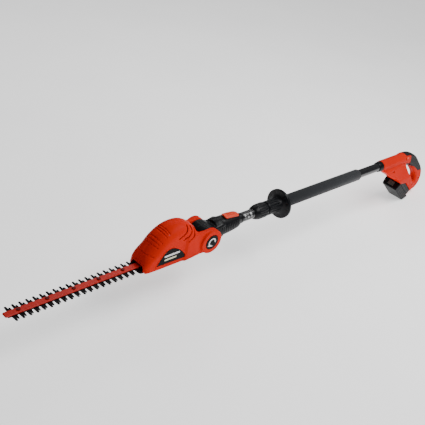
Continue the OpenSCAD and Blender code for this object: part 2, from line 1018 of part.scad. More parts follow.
module battery_latch_rear() {
  color(grey) pack_frame() box([108.8, -13.5, 39.5], [118, 13.5, 52.5]);
}

placed() head_shell_left();
placed() head_shell_right();
placed() badge_left();
placed() badge_right();
placed() gearcase();
placed() gearcase_cover();
placed() gearcase_screws();
placed() blade_bar();
placed() bar_bolts();
placed() motor_can();
placed() motor_end_cap();
placed() motor_magnets();
placed() motor_bearings();
placed() gear_shaft();
placed() pivot_hub();
placed() pivot_bolt();
placed() pivot_cap_left();
placed() pivot_cap_right();
placed() detent_plate();
placed() head_screws();
placed() upper_blade();
placed() lower_blade();
placed() drive_gear();
placed() upper_eccentric();
placed() lower_eccentric();
placed() armature_core();
placed() commutator();
placed() motor_shaft();
placed() motor_pinion();
placed() yoke_shell_left();
placed() yoke_shell_right();
placed() yoke_screws();
placed() front_tube();
placed() neck_label();
placed() coupling_spigot();
placed() plug_pins();
placed() coupling_collar();
placed() lock_button();
placed() lock_pawl();
placed() lock_spring();
placed() coupling_socket();
placed() hand_guard();
placed() rear_tube();
placed() foam_grip();
placed() tube_ferrule();
placed() handle_shell_left();
placed() handle_shell_right();
placed() grip_overmold();
placed() handle_screws();
placed() switch_module();
placed() terminal_block();
placed() power_wires();
placed() trigger();
placed() lock_off_button();
placed() battery_case();
placed() battery_cover();
placed() battery_cells();
placed() battery_contacts();
placed() battery_latch_front();
placed() battery_latch_rear();
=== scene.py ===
"""Cordless pole hedge trimmer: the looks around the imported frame.

Lengths are in millimetres in the tool's own coordinates: x runs along the pole towards the
rear handle from the head's pivot, z is up from the pole's axis, and -y is the user's left.
place() turns them into the row's frame, in metres.

A moulded piece is a signed distance: its function says how far the point (x, y, z) is
outside the piece, negative inside it. skin() finds the surface where that is zero.
"""
import json
import math
from functools import reduce
from itertools import product

import bmesh
import bpy
import numpy as np
from mathutils import Matrix, Vector


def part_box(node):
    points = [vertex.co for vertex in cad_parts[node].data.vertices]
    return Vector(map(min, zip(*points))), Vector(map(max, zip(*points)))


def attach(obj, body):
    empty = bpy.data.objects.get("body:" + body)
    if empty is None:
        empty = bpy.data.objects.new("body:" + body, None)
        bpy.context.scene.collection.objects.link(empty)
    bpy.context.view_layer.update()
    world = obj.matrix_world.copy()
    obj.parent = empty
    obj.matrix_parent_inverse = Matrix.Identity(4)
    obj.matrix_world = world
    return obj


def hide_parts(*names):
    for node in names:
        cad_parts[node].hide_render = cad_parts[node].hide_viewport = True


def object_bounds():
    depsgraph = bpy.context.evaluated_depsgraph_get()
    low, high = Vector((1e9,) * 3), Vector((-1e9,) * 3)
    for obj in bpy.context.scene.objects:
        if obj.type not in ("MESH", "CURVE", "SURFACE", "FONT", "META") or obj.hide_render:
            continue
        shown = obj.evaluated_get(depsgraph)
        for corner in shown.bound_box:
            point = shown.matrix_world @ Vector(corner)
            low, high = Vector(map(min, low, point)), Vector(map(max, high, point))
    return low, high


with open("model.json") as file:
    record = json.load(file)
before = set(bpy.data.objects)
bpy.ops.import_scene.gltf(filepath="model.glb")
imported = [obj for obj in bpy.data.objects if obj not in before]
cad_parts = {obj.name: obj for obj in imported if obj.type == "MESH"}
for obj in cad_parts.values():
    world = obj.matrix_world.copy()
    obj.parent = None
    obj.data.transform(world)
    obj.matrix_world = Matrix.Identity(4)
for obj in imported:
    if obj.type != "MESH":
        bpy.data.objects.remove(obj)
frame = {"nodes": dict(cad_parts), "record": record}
cad_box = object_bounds()

MM = 0.001
PIVOT_DROP = 8.0  # the head's pivot is this far below the pole's axis
hub_low, hub_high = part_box("pivot_hub")
ORIGIN = (hub_low + hub_high) / 2 + Vector((0, 0, PIVOT_DROP * MM))
SIDES = ((-1, "left"), (1, "right"))
FINE = 1.0


def place(x, y, z):
    return ORIGIN + Vector((x, y, z)) * MM


# Solid shapes as distance fields ----------


def curve(points, per=6, closed=False):
    """A smooth curve (Catmull-Rom) through the points, as a list of points."""
    p = np.array(points, float)
    n = len(p)
    out = []
    for i in range(n if closed else n - 1):
        picks = [(i + k) % n if closed else min(max(i + k, 0), n - 1) for k in (-1, 0, 1, 2)]
        a, b, c, d = p[picks]
        for t in np.arange(per) / per:
            out.append(0.5 * (2 * b + (c - a) * t + (2 * a - 5 * b + 4 * c - d) * t * t
                              + (3 * b - a - 3 * c + d) * t ** 3))
    if not closed:
        out.append(p[-1])
    return [tuple(q) for q in out]


def mirrored(side):
    """A plan outline from one side of it, closed with the same points on the other."""
    return side + [(x, -y) for x, y in reversed(side)]


def from_line(a, b, points, close=False):
    """Distance from (a, b) to a line of points."""
    best = np.inf
    ends = points[1:] + points[:1] if close else points[1:]
    for (ax, ay), (bx, by) in zip(points, ends):
        ex, ey = bx - ax, by - ay
        span = ex * ex + ey * ey
        if span == 0:
            continue
        t = np.clip(((a - ax) * ex + (b - ay) * ey) / span, 0, 1)
        best = np.minimum(best, (a - ax - ex * t) ** 2 + (b - ay - ey * t) ** 2)
    return np.sqrt(best)


def from_point(a, b, point):
    return np.hypot(a - point[0], b - point[1])


def in_outline(a, b, points):
    """Signed distance from (a, b) to a closed outline, negative inside it."""
    inside = np.zeros(np.broadcast(a, b).shape, bool)
    for (ax, ay), (bx, by) in zip(points, points[1:] + points[:1]):
        crosses = (ay <= b) != (by <= b)
        side = (bx - ax) * (b - ay) - (by - ay) * (a - ax)
        inside = inside ^ (crosses & ((side > 0) == (by > ay)))
    distance = from_line(a, b, points, close=True)
    return np.where(inside, -distance, distance)


def thick(outline, across, half, r):
    """An outline's distance given a half thickness across it, with its edges rounded to r."""
    p = outline + r
    q = np.abs(across) - half + r
    corner = np.hypot(np.maximum(p, 0), np.maximum(q, 0))
    return np.minimum(np.maximum(p, q), 0) + corner - r


def block(x, y, z, low, high, r=0.0):
    """A box between two corners, rounded to r."""
    mid = [(a + b) / 2 for a, b in zip(low, high)]
    half = [(b - a) / 2 for a, b in zip(low, high)]
    d = [np.abs(v - m) - h + r for v, m, h in zip((x, y, z), mid, half)]
    outside = np.sqrt(sum(np.maximum(v, 0) ** 2 for v in d))
    return outside + np.minimum(np.maximum(np.maximum(d[0], d[1]), d[2]), 0) - r


DEEP = 9  # how deep inside a prism's distance goes on growing


def prism(a, b, along, low, high, r):
    """A rounded rectangle over a and b, with no end along the third coordinate."""
    return block(a, b, 0 * along, (*low, -DEEP), (*high, DEEP), r)


def both(*shapes):
    """What all the shapes share."""
    return reduce(np.maximum, shapes)


def either(*shapes):
    """All the shapes together, with sharp edges between them."""
    return reduce(np.minimum, shapes)


def join(a, b, k):
    """The union of two shapes with a fillet of about k."""
    h = np.clip(0.5 + 0.5 * (b - a) / k, 0, 1)
    return b * (1 - h) + a * h - k * h * (1 - h)


def cut(a, b, k=0.0):
    """Shape a less shape b, with the new edge rounded by about k."""
    return -join(-a, b, k) if k else np.maximum(a, -b)


def engraved(form, mask, depth):
    """A form with a mask's area sunk below its surface."""
    return np.maximum(form, np.minimum(-mask, form + depth))


def ramp(low, high, v):
    """From 0 at low to 1 at high, smoothly."""
    t = np.clip((v - low) / (high - low), 0, 1)
    return t * t * (3 - 2 * t)


CORNERS = list(product((0, 1), repeat=3))  # a grid cell's, and those of one of its sides
SIDE_CORNERS = list(product((0, 1), repeat=2))


def sample(field, p, low, step):
    """The field and its slope at points p, between its grid points."""
    g = (p - low) / step
    i = np.clip(np.floor(g).astype(int), 0, np.array(field.shape) - 2)
    corner = {(a, b, c): field[i[:, 0] + a, i[:, 1] + b, i[:, 2] + c] for a, b, c in CORNERS}
    fx, fy, fz = (g - i).T
    xs = {(b, c): corner[0, b, c] * (1 - fx) + corner[1, b, c] * fx for b, c in SIDE_CORNERS}
    value = ((xs[0, 0] * (1 - fy) + xs[1, 0] * fy) * (1 - fz)
             + (xs[0, 1] * (1 - fy) + xs[1, 1] * fy) * fz)
    dx = sum((corner[1, b, c] - corner[0, b, c]) * (fy if b else 1 - fy) * (fz if c else 1 - fz)
             for b, c in SIDE_CORNERS)
    dy = (xs[1, 0] - xs[0, 0]) * (1 - fz) + (xs[1, 1] - xs[0, 1]) * fz
    dz = (xs[0, 1] - xs[0, 0]) * (1 - fy) + (xs[1, 1] - xs[1, 0]) * fy
    return value, np.stack([dx, dy, dz], 1) / step


ROUNDS = 3  # how often skin() moves its points towards the surface
STRIDE = 0.3  # the most it moves one at a time, as a share of the grid's step
LEAST_SLOPE = 0.25  # the squared slope below which it moves a point less than the full way


def crossings(field, inside):
    """Number the cells that the surface passes through, with a first point in each."""
    cells = [n - 1 for n in field.shape]
    total = sum(inside[a:a + cells[0], b:b + cells[1], c:c + cells[2]].astype(np.int8)
                for a, b, c in CORNERS)
    mixed = (total > 0) & (total < len(CORNERS))
    ids = np.argwhere(mixed)
    number = -np.ones(cells, np.int64)
    number[mixed] = np.arange(len(ids))
    sums = np.zeros((len(ids), 3))
    hits = np.zeros(len(ids))
    for axis in range(3):
        others = [k for k in range(3) if k != axis]
        for corner in SIDE_CORNERS:
            a = ids.copy()
            a[:, others] += corner
            b = a.copy()
            b[:, axis] += 1
            va, vb = field[tuple(a.T)], field[tuple(b.T)]
            change = (va < 0) != (vb < 0)
            t = np.where(change, va / np.where(change, va - vb, 1), 0)
            point = a.astype(float)
            point[:, axis] += t
            sums += point * change[:, None]
            hits += change
    return number, sums / hits[:, None]


def quads_across(axis, inside, number):
    """A quad round each grid edge along an axis that the surface crosses, facing outwards."""
    others = [(1, 2), (2, 0), (0, 1)][axis]
    n = np.array(inside.shape)
    first = inside.take(range(n[axis] - 1), axis)
    edges = np.argwhere(first != inside.take(range(1, n[axis]), axis))
    across = edges[:, others]
    edges = edges[((across > 0) & (across < n[list(others)] - 1)).all(1)]
    ring = []
    for move in ((-1, -1), (0, -1), (0, 0), (-1, 0)):
        cell = edges.copy()
        cell[:, others] += move
        ring.append(number[tuple(cell.T)])
    ring = np.stack(ring, 1)
    flip = ~first[tuple(edges.T)]
    ring[flip] = ring[flip][:, ::-1]
    return ring


def skin(shape, low, high, step):
    """Points and quads of a shape's surface, found on a grid between two corners."""
    axes = [np.arange(a - step, b + 2 * step, step) for a, b in zip(low, high)]
    x, y, z = (v.reshape([-1 if k == n else 1 for k in range(3)]) for n, v in enumerate(axes))
    field = np.broadcast_to(shape(x, y, z), [len(v) for v in axes]).astype(np.float64)
    start = np.array([v[0] for v in axes])
    inside = field < 0
    number, points = crossings(field, inside)
    points = points * step + start
    for _ in range(ROUNDS):
        value, slope = sample(field, points, start, step)
        size = np.maximum((slope ** 2).sum(1), LEAST_SLOPE)
        move = slope * (value / size)[:, None]
        points -= np.clip(move, -step * STRIDE, step * STRIDE)
    return points, np.concatenate([quads_across(axis, inside, number) for axis in range(3)])


def piece(name, points, faces, body, nodes, slot, material=None):
    """A mesh from millimetre points, riding on a body in place of CAD nodes."""
    mesh = bpy.data.meshes.new(name)
    world = np.asarray(points) * MM + np.array(ORIGIN)
    mesh.from_pydata(world.tolist(), [], [list(map(int, f)) for f in faces])
    mesh.validate()
    obj = bpy.data.objects.new(name, mesh)
    bpy.context.scene.collection.objects.link(obj)
    mesh.polygons.foreach_set("use_smooth", [True] * len(mesh.polygons))
    mesh.materials.append(material or FINISHES[slot])
    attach(obj, body)
    if nodes:
        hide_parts(*nodes)
    return obj


# Head -------------------------------------

WALL = 3.4
HEAD_HALF = 42  # half the head's width
BOLT_HOLE = 11.2  # radius of the hole for the pivot's bolt, through head and yoke

# The head's side outline, over its crown from the mouth to the pivot and back below
CROWN = curve([(-256, -36), (-253, -20), (-243, 4), (-224, 28), (-204, 49), (-180, 65),
               (-151, 76), (-121, 78.7), (-96, 75), (-74, 64), (-56, 48), (-46, 28), (-44, 6),
               (-46, -20)])
BELLY = [(-54, -40), (-72, -45), (-110, -49), (-160, -49), (-210, -48.5), (-256, -47)]
HEAD_PLAN = mirrored([(-258, -22), (-256, -30), (-250, -37), (-240, -41.5), (-225, -43),
                      (-30, -43)])
EDGE_BELOW = 9  # how round the head's long edges are
EDGE_CROWN = 26  # what the crown adds, rising between these heights
CROWN_RISE = (-40, 18)

# The skirt stands back a little below this line
SKIRT = curve([(-258, -38), (-223, -39.5), (-167, -42.5), (-110, -43.5), (-72, -37.5),
               (-45, -30)]) + [(-40, -80), (-300, -80), (-300, -38)]
SKIRT_STEP = 1.1

BADGE = curve([(-217, -31), (-202, -8), (-188, 9), (-174, 17.5), (-157, 18), (-132, 6),
               (-112, -12), (-103, -25)]) + [(-104, -31), (-108, -33)]
BADGE_FLOOR = 40.4  # how far the badge's seat is from the middle
RIM_HALF, RIM_HEIGHT = 3, 1.3
RIM_INNER = 30  # the raised rim starts this far from the middle

# Grooves across the crown: where on its outline, and how far to each side they run
GROOVES = [(-183, 63, 30), (-176, 68, 24), (-169, 71, 28), (-203, 50, 32), (-211, 42, 28),
           (-219, 34, 31), (-241, 8, 36)]
CROWN_MIDDLE = (-150, -25)  # they point to it
GROOVE_HALF, GROOVE_DEPTH = 1.9, 1.6
GROOVE_DOWN = 45  # they end this far below the outline

VENTS = [curve(line) for line in (
    [(-99, 70), (-104, 60), (-117, 51), (-137, 42)],
    [(-84, 65), (-83, 52), (-97, 42), (-116, 32)],
    [(-67, 52), (-76, 38), (-98, 22)])]
VENT_HALF, VENT_INNER = 2.1, 20

# The two arms that hold the yoke's drum between their knuckles
ARM_STRIP = [(-100, 40), (-60, 36), (-10, 32), (0, 20), (0, -38), (-12, -47), (-60, -44),
             (-100, -46)]
ARM_AT, ARM_HALF = 36, 8  # an arm's middle from the head's, and half its thickness
KNUCKLE = 41.0  # its radius
KNUCKLE_AT, KNUCKLE_HALF = 39.5, 11.5
ARM_INSET = 2  # how much smaller the arm's end is than the knuckle
DRUM_ROOM, DRUM_HALF = 46.5, 28
CAP = 25.0  # the pivot cap's radius
CAP_GAP = 0.4  # between the cap and its seat
CAP_FLOOR = 46  # how far the seat is from the middle
CAP_WALL, CAP_WALL_AT = 3, 43  # the wall kept round the seat, and where it starts

MOUTH_X, MOUTH_LENGTH = -262, 30
MOUTH_TOP, MOUTH_HALF = -27.5, 28
MOUTH_LEAN = 0.4  # how much narrower it gets for each millimetre above its foot
MOUTH_FOOT, MOUTH_LEANING = -42, 30
TRAY_ROOM = ((-300, -33, -60), (-80, 33, -43.8))


def pivot_distance(x, z):
    return np.hypot(x, z + PIVOT_DROP)


def head_form(x, y, z):
    """The head's outside, before its rims, grooves and openings."""
    side = np.abs(y)
    edge = EDGE_BELOW + EDGE_CROWN * ramp(*CROWN_RISE, z)
    crown = thick(in_outline(x, z, CROWN + BELLY), y, HEAD_HALF, edge)
    crown = cut(crown, -in_outline(x, y, HEAD_PLAN), k=5)
    disc = pivot_distance(x, z) - KNUCKLE
    strip = in_outline(x, z, ARM_STRIP)
    arm = thick(join(strip, disc + ARM_INSET, k=10), side - ARM_AT, ARM_HALF, r=5)
    knuckle = thick(disc, side - KNUCKLE_AT, KNUCKLE_HALF, r=3)
    return join(join(crown, arm, k=12), knuckle, k=1.5)


def groove(x, z, gx, gz):
    """A slit in the side view, from the outline at (gx, gz) towards the crown's middle."""
    out_x, out_z = gx - CROWN_MIDDLE[0], gz - CROWN_MIDDLE[1]
    far = math.hypot(out_x, out_z)
    across = np.abs((x - gx) * out_z - (z - gz) * out_x) / far - GROOVE_HALF
    below = -((x - gx) * out_x + (z - gz) * out_z) / far - GROOVE_DOWN
    return both(across, below)


def head_shell(x, y, z):
    plain = head_form(x, y, z)
    side = np.abs(y)
    pivot = pivot_distance(x, z)
    badge = in_outline(x, z, BADGE)
    rim = both(plain - RIM_HEIGHT, np.abs(badge) - RIM_HALF, RIM_INNER - side)
    form = either(plain, both(plain - SKIRT_STEP, in_outline(x, z, SKIRT)), rim)
    for gx, gz, reach in GROOVES:
        form = cut(form, both(groove(x, z, gx, gz), side - reach, -GROOVE_DEPTH - plain), k=0.9)
    for line in VENTS:
        form = cut(form, both(from_line(x, z, line) - VENT_HALF, VENT_INNER - side), k=1.0)
    form = cut(form, both(badge, BADGE_FLOOR - side), k=0.5)
    room = both(pivot - DRUM_ROOM, side - DRUM_HALF)
    cap_wall = both(pivot - CAP - CAP_WALL, CAP_WALL_AT - side)
    hollow = both(plain + WALL, WALL - room, -cap_wall)
    form = cut(cut(form, room, k=1.0), hollow)
    narrowing = MOUTH_LEAN * np.clip(z - MOUTH_FOOT, 0, MOUTH_LEANING)
    mouth = both(side - MOUTH_HALF + narrowing, z - MOUTH_TOP)
    form = cut(form, thick(mouth, x - MOUTH_X, MOUTH_LENGTH, r=2), k=1.5)
    form = cut(form, block(x, y, z, *TRAY_ROOM), k=0.6)
    form = cut(form, both(pivot - CAP - CAP_GAP, CAP_FLOOR - side), k=0.6)
    return cut(form, pivot - BOLT_HOLE)


LIP = curve([(-240, -29.4), (-258, -29.2), (-265, -24), (-267, 0), (-265, 24), (-258, 29.2),
             (-240, 29.4)], 5) + [(-238, 20), (-238, -20)]
LIP_Z, LIP_HALF = -45.4, 2.2
TRAY = ((-252, -32.6, -47.2), (-80.4, 32.6, -44.1))


def chin(x, y, z):
    """The gearcase cover, whose rounded lip shows under the blades at the head's mouth."""
    lip = thick(in_outline(x, y, LIP), z - LIP_Z, LIP_HALF, r=1.2)
    return either(lip, block(x, y, z, *TRAY, r=1))


BADGE_GAP = 0.4  # between the badge's edge and its seat's
BADGE_AT, BADGE_HALF = 41.3, 0.9


def badge_panel(x, y, z):
    outline = in_outline(x, z, BADGE) + BADGE_GAP
    return thick(outline, np.abs(y) - BADGE_AT, BADGE_HALF, r=0.5)


# Two plain raised bars on the badge, by their corners in the side view
UPPER_BAR = ((-188, -7.5), (-128, -0.5))
LOWER_BAR = ((-187, -20), (-140, -14))
BADGE_BAR_AT, BADGE_BAR_HALF = 42.2, 0.3


def badge_bar(low, high):
    """A plain raised bar on the panel, where the real one carries its printing."""
    def shape(x, y, z):
        bar = prism(x, z, y, low, high, r=1.2)
        return both(bar, np.abs(np.abs(y) - BADGE_BAR_AT) - BADGE_BAR_HALF)
    return shape


CAP_AT, CAP_HALF, CAP_FACE = 49, 3, 52
CAP_TRIM = 0.1  # how much smaller the cap is than its radius says
DISH = 0.3  # how much lower the cap's face is at its edge
CAP_RING = 20.5  # radius of the fine groove round the face
CAP_RING_DEPTH, CAP_RING_WIDTH = 0.9, 1.1


def pivot_cap(x, y, z):
    side = np.abs(y)
    pivot = pivot_distance(x, z)
    dish = DISH * np.clip(pivot / CAP, 0, 1) ** 2
    disc = thick(pivot - CAP + CAP_TRIM, side - CAP_AT, CAP_HALF, r=1.2)
    ring = CAP_RING_DEPTH * np.exp(-((pivot - CAP_RING) / CAP_RING_WIDTH) ** 2)
    return both(disc, side - CAP_FACE + dish + ring)


ARROW_RING, ARROW_HALF = 12.5, 3
ARROW_GAP_Z, ARROW_GAP_HALF = 8, 5
ARROW_BARB, BARB_HALF = [(-15, -18), (-3, -20)], 2.8
MARK_AT, MARK_HALF = 51.6, 0.35


def cap_mark(x, y, z):
    """A plain turning-arrow mark on the cap, raised a little."""
    ring = np.abs(pivot_distance(x, z) - ARROW_RING) - ARROW_HALF
    gap = both(np.abs(z + PIVOT_DROP + ARROW_GAP_Z) - ARROW_GAP_HALF, -x)
    barb = from_line(x, z, ARROW_BARB) - BARB_HALF
    return both(either(both(ring, -gap), barb), np.abs(np.abs(y) - MARK_AT) - MARK_HALF)


# Yoke -------------------------------------

CONE_END = 174
CONE = curve([(43, 29), (55, 31.5), (65, 32), (90, 31.5), (115, 29.8), (140, 27), (152, 23.8),
              (160, 20), (166, 18.4), (CONE_END, 17.9)], 4) + [(CONE_END, -5), (43, -5)]
TONGUE = (curve([(-2, 32), (10, 31.5), (26, 25), (42, 20), (66, 24)], 4)
          + [(72, 20), (72, -26), (58, -31), (36, -35), (0, -46)])
DRUM, YOKE_HALF = 40, 27.5  # the drum's radius, and half the yoke's width
YOKE_WALL, YOKE_HOLLOW_END = 3, 140
TUBE_BORE, TUBE_BORE_START = 16.6, 138
RING_X, RING_HALF, RING_DEPTH = 163, 0.8, 0.8  # the fine line round the cone's rear end

# Grooves round the cone's sides, slanted back towards the top
RIB_PITCH, RIB_START, RIB_SLANT = 8.5, 50, 0.25
RIB_GROOVE_HALF, RIB_DEPTH = 1.7, 1.8
RIB_AREA = ((55, -27), (140, 15))

BUTTON_SEAT = ((83, -16.5), (158, 16.5))
BUTTON_SEAT_Z, BUTTON_SEAT_HALF, BUTTON_SEAT_DEPTH = 40, 40, 1.4
STEM_ROOM = ((103, -4.5, 0), (133, 4.5, 60))


def from_pole(y, z):
    return np.hypot(y, z)


def cone_form(x, y, z):
    return in_outline(x, from_pole(y, z), CONE)


def yoke_form(x, y, z):
    drum = thick(pivot_distance(x, z) - DRUM, y, YOKE_HALF, r=2)
    tongue = thick(in_outline(x, z, TONGUE), y, YOKE_HALF, r=5)
    return join(join(drum, tongue, k=3), cone_form(x, y, z), k=9)


def yoke_shell(x, y, z):
    plain = yoke_form(x, y, z)
    row = x + RIB_SLANT * z
    groove_row = np.abs((row - RIB_START) % RIB_PITCH - RIB_PITCH / 2) - RIB_GROOVE_HALF
    area = prism(row, z, y, *RIB_AREA, r=4)
    form = cut(plain, both(groove_row, area, -RIB_DEPTH - plain), k=0.8)
    form = engraved(form, np.abs(x - RING_X) - RING_HALF, RING_DEPTH)
    seat = prism(x, y, z, *BUTTON_SEAT, r=7)
    seat = thick(seat, z - BUTTON_SEAT_Z, BUTTON_SEAT_HALF, r=0.5)
    form = engraved(form, seat, BUTTON_SEAT_DEPTH)
    form = cut(form, both(plain + YOKE_WALL, x - YOKE_HOLLOW_END))
    form = cut(form, both(from_pole(y, z) - TUBE_BORE, TUBE_BORE_START - x), k=0.4)
    form = cut(form, block(x, y, z, *STEM_ROOM))
    return cut(form, pivot_distance(x, z) - BOLT_HOLE)


BUTTON = ((88, -14), (152, 14))
BUTTON_X = 120  # its middle
BUTTON_LIFT, BUTTON_HALF = 2.6, 2.1  # its middle above the cone, and half its thickness
CROWNING, CROWNING_LENGTH, CROWNING_ACROSS = 2.2, 34, 0.0075
CROWNING_SHARE = 0.3
RIDGE_PITCH, RIDGE_HEIGHT = 5.5, 0.55
RIDGES_LENGTH, RIDGES_HALF, RIDGES_SHARE = 17, 10, 0.9
BUTTON_FOOT = 5
BUTTON_STEM = ((104, -4, -3.9), (124, 4, 32))


def lock_button(x, y, z):
    along = x - BUTTON_X
    crowning = CROWNING * (1 - (along / CROWNING_LENGTH) ** 2) - CROWNING_ACROSS * y * y
    half = BUTTON_HALF + CROWNING_SHARE * crowning
    pad = thick(prism(x, y, z, *BUTTON, r=8), cone_form(x, y, z) - BUTTON_LIFT, half, r=1.4)
    ridges = RIDGE_HEIGHT * np.cos(along * 2 * math.pi / RIDGE_PITCH)
    ridged = (np.abs(along) < RIDGES_LENGTH) * (np.abs(y) < RIDGES_HALF)
    pad = pad + ridges * ridged * RIDGES_SHARE
    return either(both(pad, BUTTON_FOOT - z), block(x, y, z, *BUTTON_STEM))


# Pole fittings ----------------------------


def ring_outline(line, bore):
    """A ring's section from its outside line and its bore's radius."""
    return line + [(line[-1][0], bore), (line[0][0], bore)]


def fade(v, start, full, fall, end):
    """1 between full and fall, and 0 before start and after end."""
    return ramp(start, full, v) * ramp(end, fall, v)


def ribbed(y, z, count):
    """From 0 to 1 and back, this many times round the pole."""
    return 0.5 + 0.5 * np.cos(count * np.arctan2(z, y))


POLE_BORE = 16.7
SAFE = 0.8  # flattens a field that its ribs make too steep

COLLAR = ring_outline(curve([(230.5, 18), (236, 21.8), (247, 25.4), (258, 26.8), (270, 27),
                             (283, 26.6), (289.6, 24.6)], 4), 16.8)
COLLAR_ROOM = [(244, 20.3), (257, 20.3), (257, 22.3), (300, 22.3), (300, 0), (244, 0)]
COLLAR_GRIP = (246, 252, 284, 289)  # where its ribs fade in and out
COLLAR_RIBS, COLLAR_RIB_DEPTH = 16, 1.9


def collar(x, y, z):
    r = from_pole(y, z)
    ribs = fade(x, *COLLAR_GRIP) * ribbed(y, z, COLLAR_RIBS) ** 3
    form = in_outline(x, r, COLLAR) + COLLAR_RIB_DEPTH * ribs
    return cut(form, in_outline(x, r, COLLAR_ROOM)) * SAFE


GUARD = ring_outline([(293.5, 23.4), (296, 25.2), (300, 25.4), (340, 25.4), (350, 26),
                      (356, 28.5), (359.5, 36), (361, 47), (361.2, 50.6), (363.5, 52.3),
                      (370.5, 52.3), (373.5, 50), (374, 47), (369, 34), (367, 24)], 22.1)
GUARD_HUB = ring_outline([(361, 24), (367, 24)], POLE_BORE)
SLEEVE_GRIP = (298, 303, 343, 349)
SLEEVE_RIBS, SLEEVE_RIB_DEPTH = 16, 2.0
DISC_FACE, DISC_WEB = (359, 361.5), (30, 33, 44, 47)
DISC_RIBS, DISC_RIB_DEPTH = 12, 0.9


def hand_guard(x, y, z):
    r = from_pole(y, z)
    ribs = fade(x, *SLEEVE_GRIP) * ribbed(y, z, SLEEVE_RIBS) ** 3
    spokes = ramp(*DISC_FACE, x) * fade(r, *DISC_WEB) * ribbed(y, z, DISC_RIBS) ** 6
    form = in_outline(x, r, GUARD) + SLEEVE_RIB_DEPTH * ribs + DISC_RIB_DEPTH * spokes
    return either(form, in_outline(x, r, GUARD_HUB)) * SAFE


LATHE_SIDES = 96
FOAM = ring_outline([(375.2, 18.8), (376, 20.6), (378.5, 21.8), (813.5, 21.8), (816, 20.6),
                     (816.8, 18.8)], POLE_BORE)
FERRULE = ring_outline(curve([(944.3, 17.6), (946.5, 19), (956, 20.1), (967.6, 20.7)], 3),
                       POLE_BORE)


# Rear handle ------------------------------

BARREL, BARREL_X, BARREL_LENGTH = 22, 1048, 80  # its radius, middle and half length
ARM_RADIUS = 22
SIDE_HALF = 18  # half the thickness of the handle's arm and web
ARM = curve([(1116, 0), (1140, -0.5), (1158, -4), (1178, -11), (1197, -21), (1215, -35),
             (1233, -52), (1252, -69), (1268, -86), (1279, -102), (1284.5, -117),
             (1286.5, -132), (1283, -147), (1272, -157), (1254, -161), (1238, -157),
             (1224, -149)], 3)
OPENING = [(1136, -23), (1139, -33), (1147, -47), (1162, -65), (1184, -85), (1199, -101),
           (1218, -118), (1240, -127), (1256, -139)]
WEB = [(1100, 5)] + OPENING + [(1256, -183), (1228, -173), (1212, -158), (1150, -100)]

# The flank beside the battery bay: it spreads downwards, under a step and a crease
FLARE = [(976, -18), (976, -2), (1134, -2), (1139, -30), (1158, -60), (1186, -90), (1196, -104),
         (1221, -140), (1212, -158), (1104, -99), (1097, -92)]
FLANK_HALF, FLANK_SPREAD = 21, 18
FLANK_TOP, FLANK_HEIGHT = 22, 60
FLANK_STEP, STEP_FALL, STEP_FADE = 2.2, (-20, -25), (1115, 1030)
CREASE, CREASE_Z, CREASE_WIDTH, CREASE_FADE = 4.5, -13, 6, (1125, 1080)

GRIP_ZONE = [(1118, 40), (1123, 17), (1160, 13), (1168, -12), (1176, -50), (1206, -49),
             (1230, -62), (1258, -82), (1330, -92), (1330, 40)]
GRIP_SEAT = 2.5  # how deep the soft grip lies in the casing
GRIP_SEAT_REACH = 4  # the wall under it starts this far outside its edge
HANDLE_WALL = 3
CASING_START = 990
POLE_ROOM, POLE_ROOM_END = 16.7, 1012
TRIGGER_SLOT = ((1144, -9, -60), (1197, 9, -11))
LOCK_OFF_AT = (1130, 8)
LOCK_OFF_DISH, LOCK_OFF_FLOOR, LOCK_OFF_BORE = 9.5, 19, 6.7
SCREWS = [(1046, -34), (1116, -14), (1250, -150), (1286, -128), (1206, -126)]
SCREW_HOLE, SCREW_FLOOR = 3.8, 14.2

# The battery slides in along a slope: u runs along its base and w up from it
PACK_TILT = math.radians(41)
PACK_U = (math.cos(PACK_TILT), -math.sin(PACK_TILT))
PACK_W = (math.sin(PACK_TILT), math.cos(PACK_TILT))
PACK_AT = (1090, -125)
UNDER_PACK = [(-60, 33), (-1, 33), (33, 55.3), (160, 56), (160, -80), (-60, -80)]
BAY = ((-1.5, -37.1, -20), (112.5, 37.1, 55.3))
TOWER_ROOM = ((10.5, -17.6, 40), (63.5, 17.6, 83))
TOWER_WALL = 1.6  # the casing's wall kept beside the tower


def pack_frame(x, z):
    """Along the battery's base and up from it."""
    dx, dz = x - PACK_AT[0], z - PACK_AT[1]
    return dx * PACK_U[0] + dz * PACK_U[1], dx * PACK_W[0] + dz * PACK_W[1]


def flank_half(x, z):
    step = FLANK_STEP * ramp(*STEP_FALL, z) * ramp(*STEP_FADE, x)
    crease = CREASE * np.exp(-((z - CREASE_Z) / CREASE_WIDTH) ** 2) * ramp(*CREASE_FADE, x)
    spread = FLANK_SPREAD * np.clip((-z - FLANK_TOP) / FLANK_HEIGHT, 0, 1)
    return FLANK_HALF + spread + (step - crease)


def handle_form(x, y, z):
    """The handle's outside with its grip, before any room or hole."""
    barrel = thick(from_pole(y, z) - BARREL, x - BARREL_X, BARREL_LENGTH, r=2)
    web = thick(in_outline(x, z, WEB), y, SIDE_HALF, r=5)
    flare = thick(in_outline(x, z, FLARE), y, flank_half(x, z), r=4)
    body = join(join(barrel, flare, k=3), web, k=6)
    arm = thick(from_line(x, z, ARM) - ARM_RADIUS, y, SIDE_HALF, r=11)
    return join(body, arm, k=8)


def pack_room(x, y, z, wall):
    """The space the battery takes, with a wall kept beside its tower."""
    u, w = pack_frame(x, z)
    tower = both(block(u, y, w, *TOWER_ROOM, r=1), wall)
    return either(in_outline(u, w, UNDER_PACK), block(u, y, w, *BAY, r=1), tower)


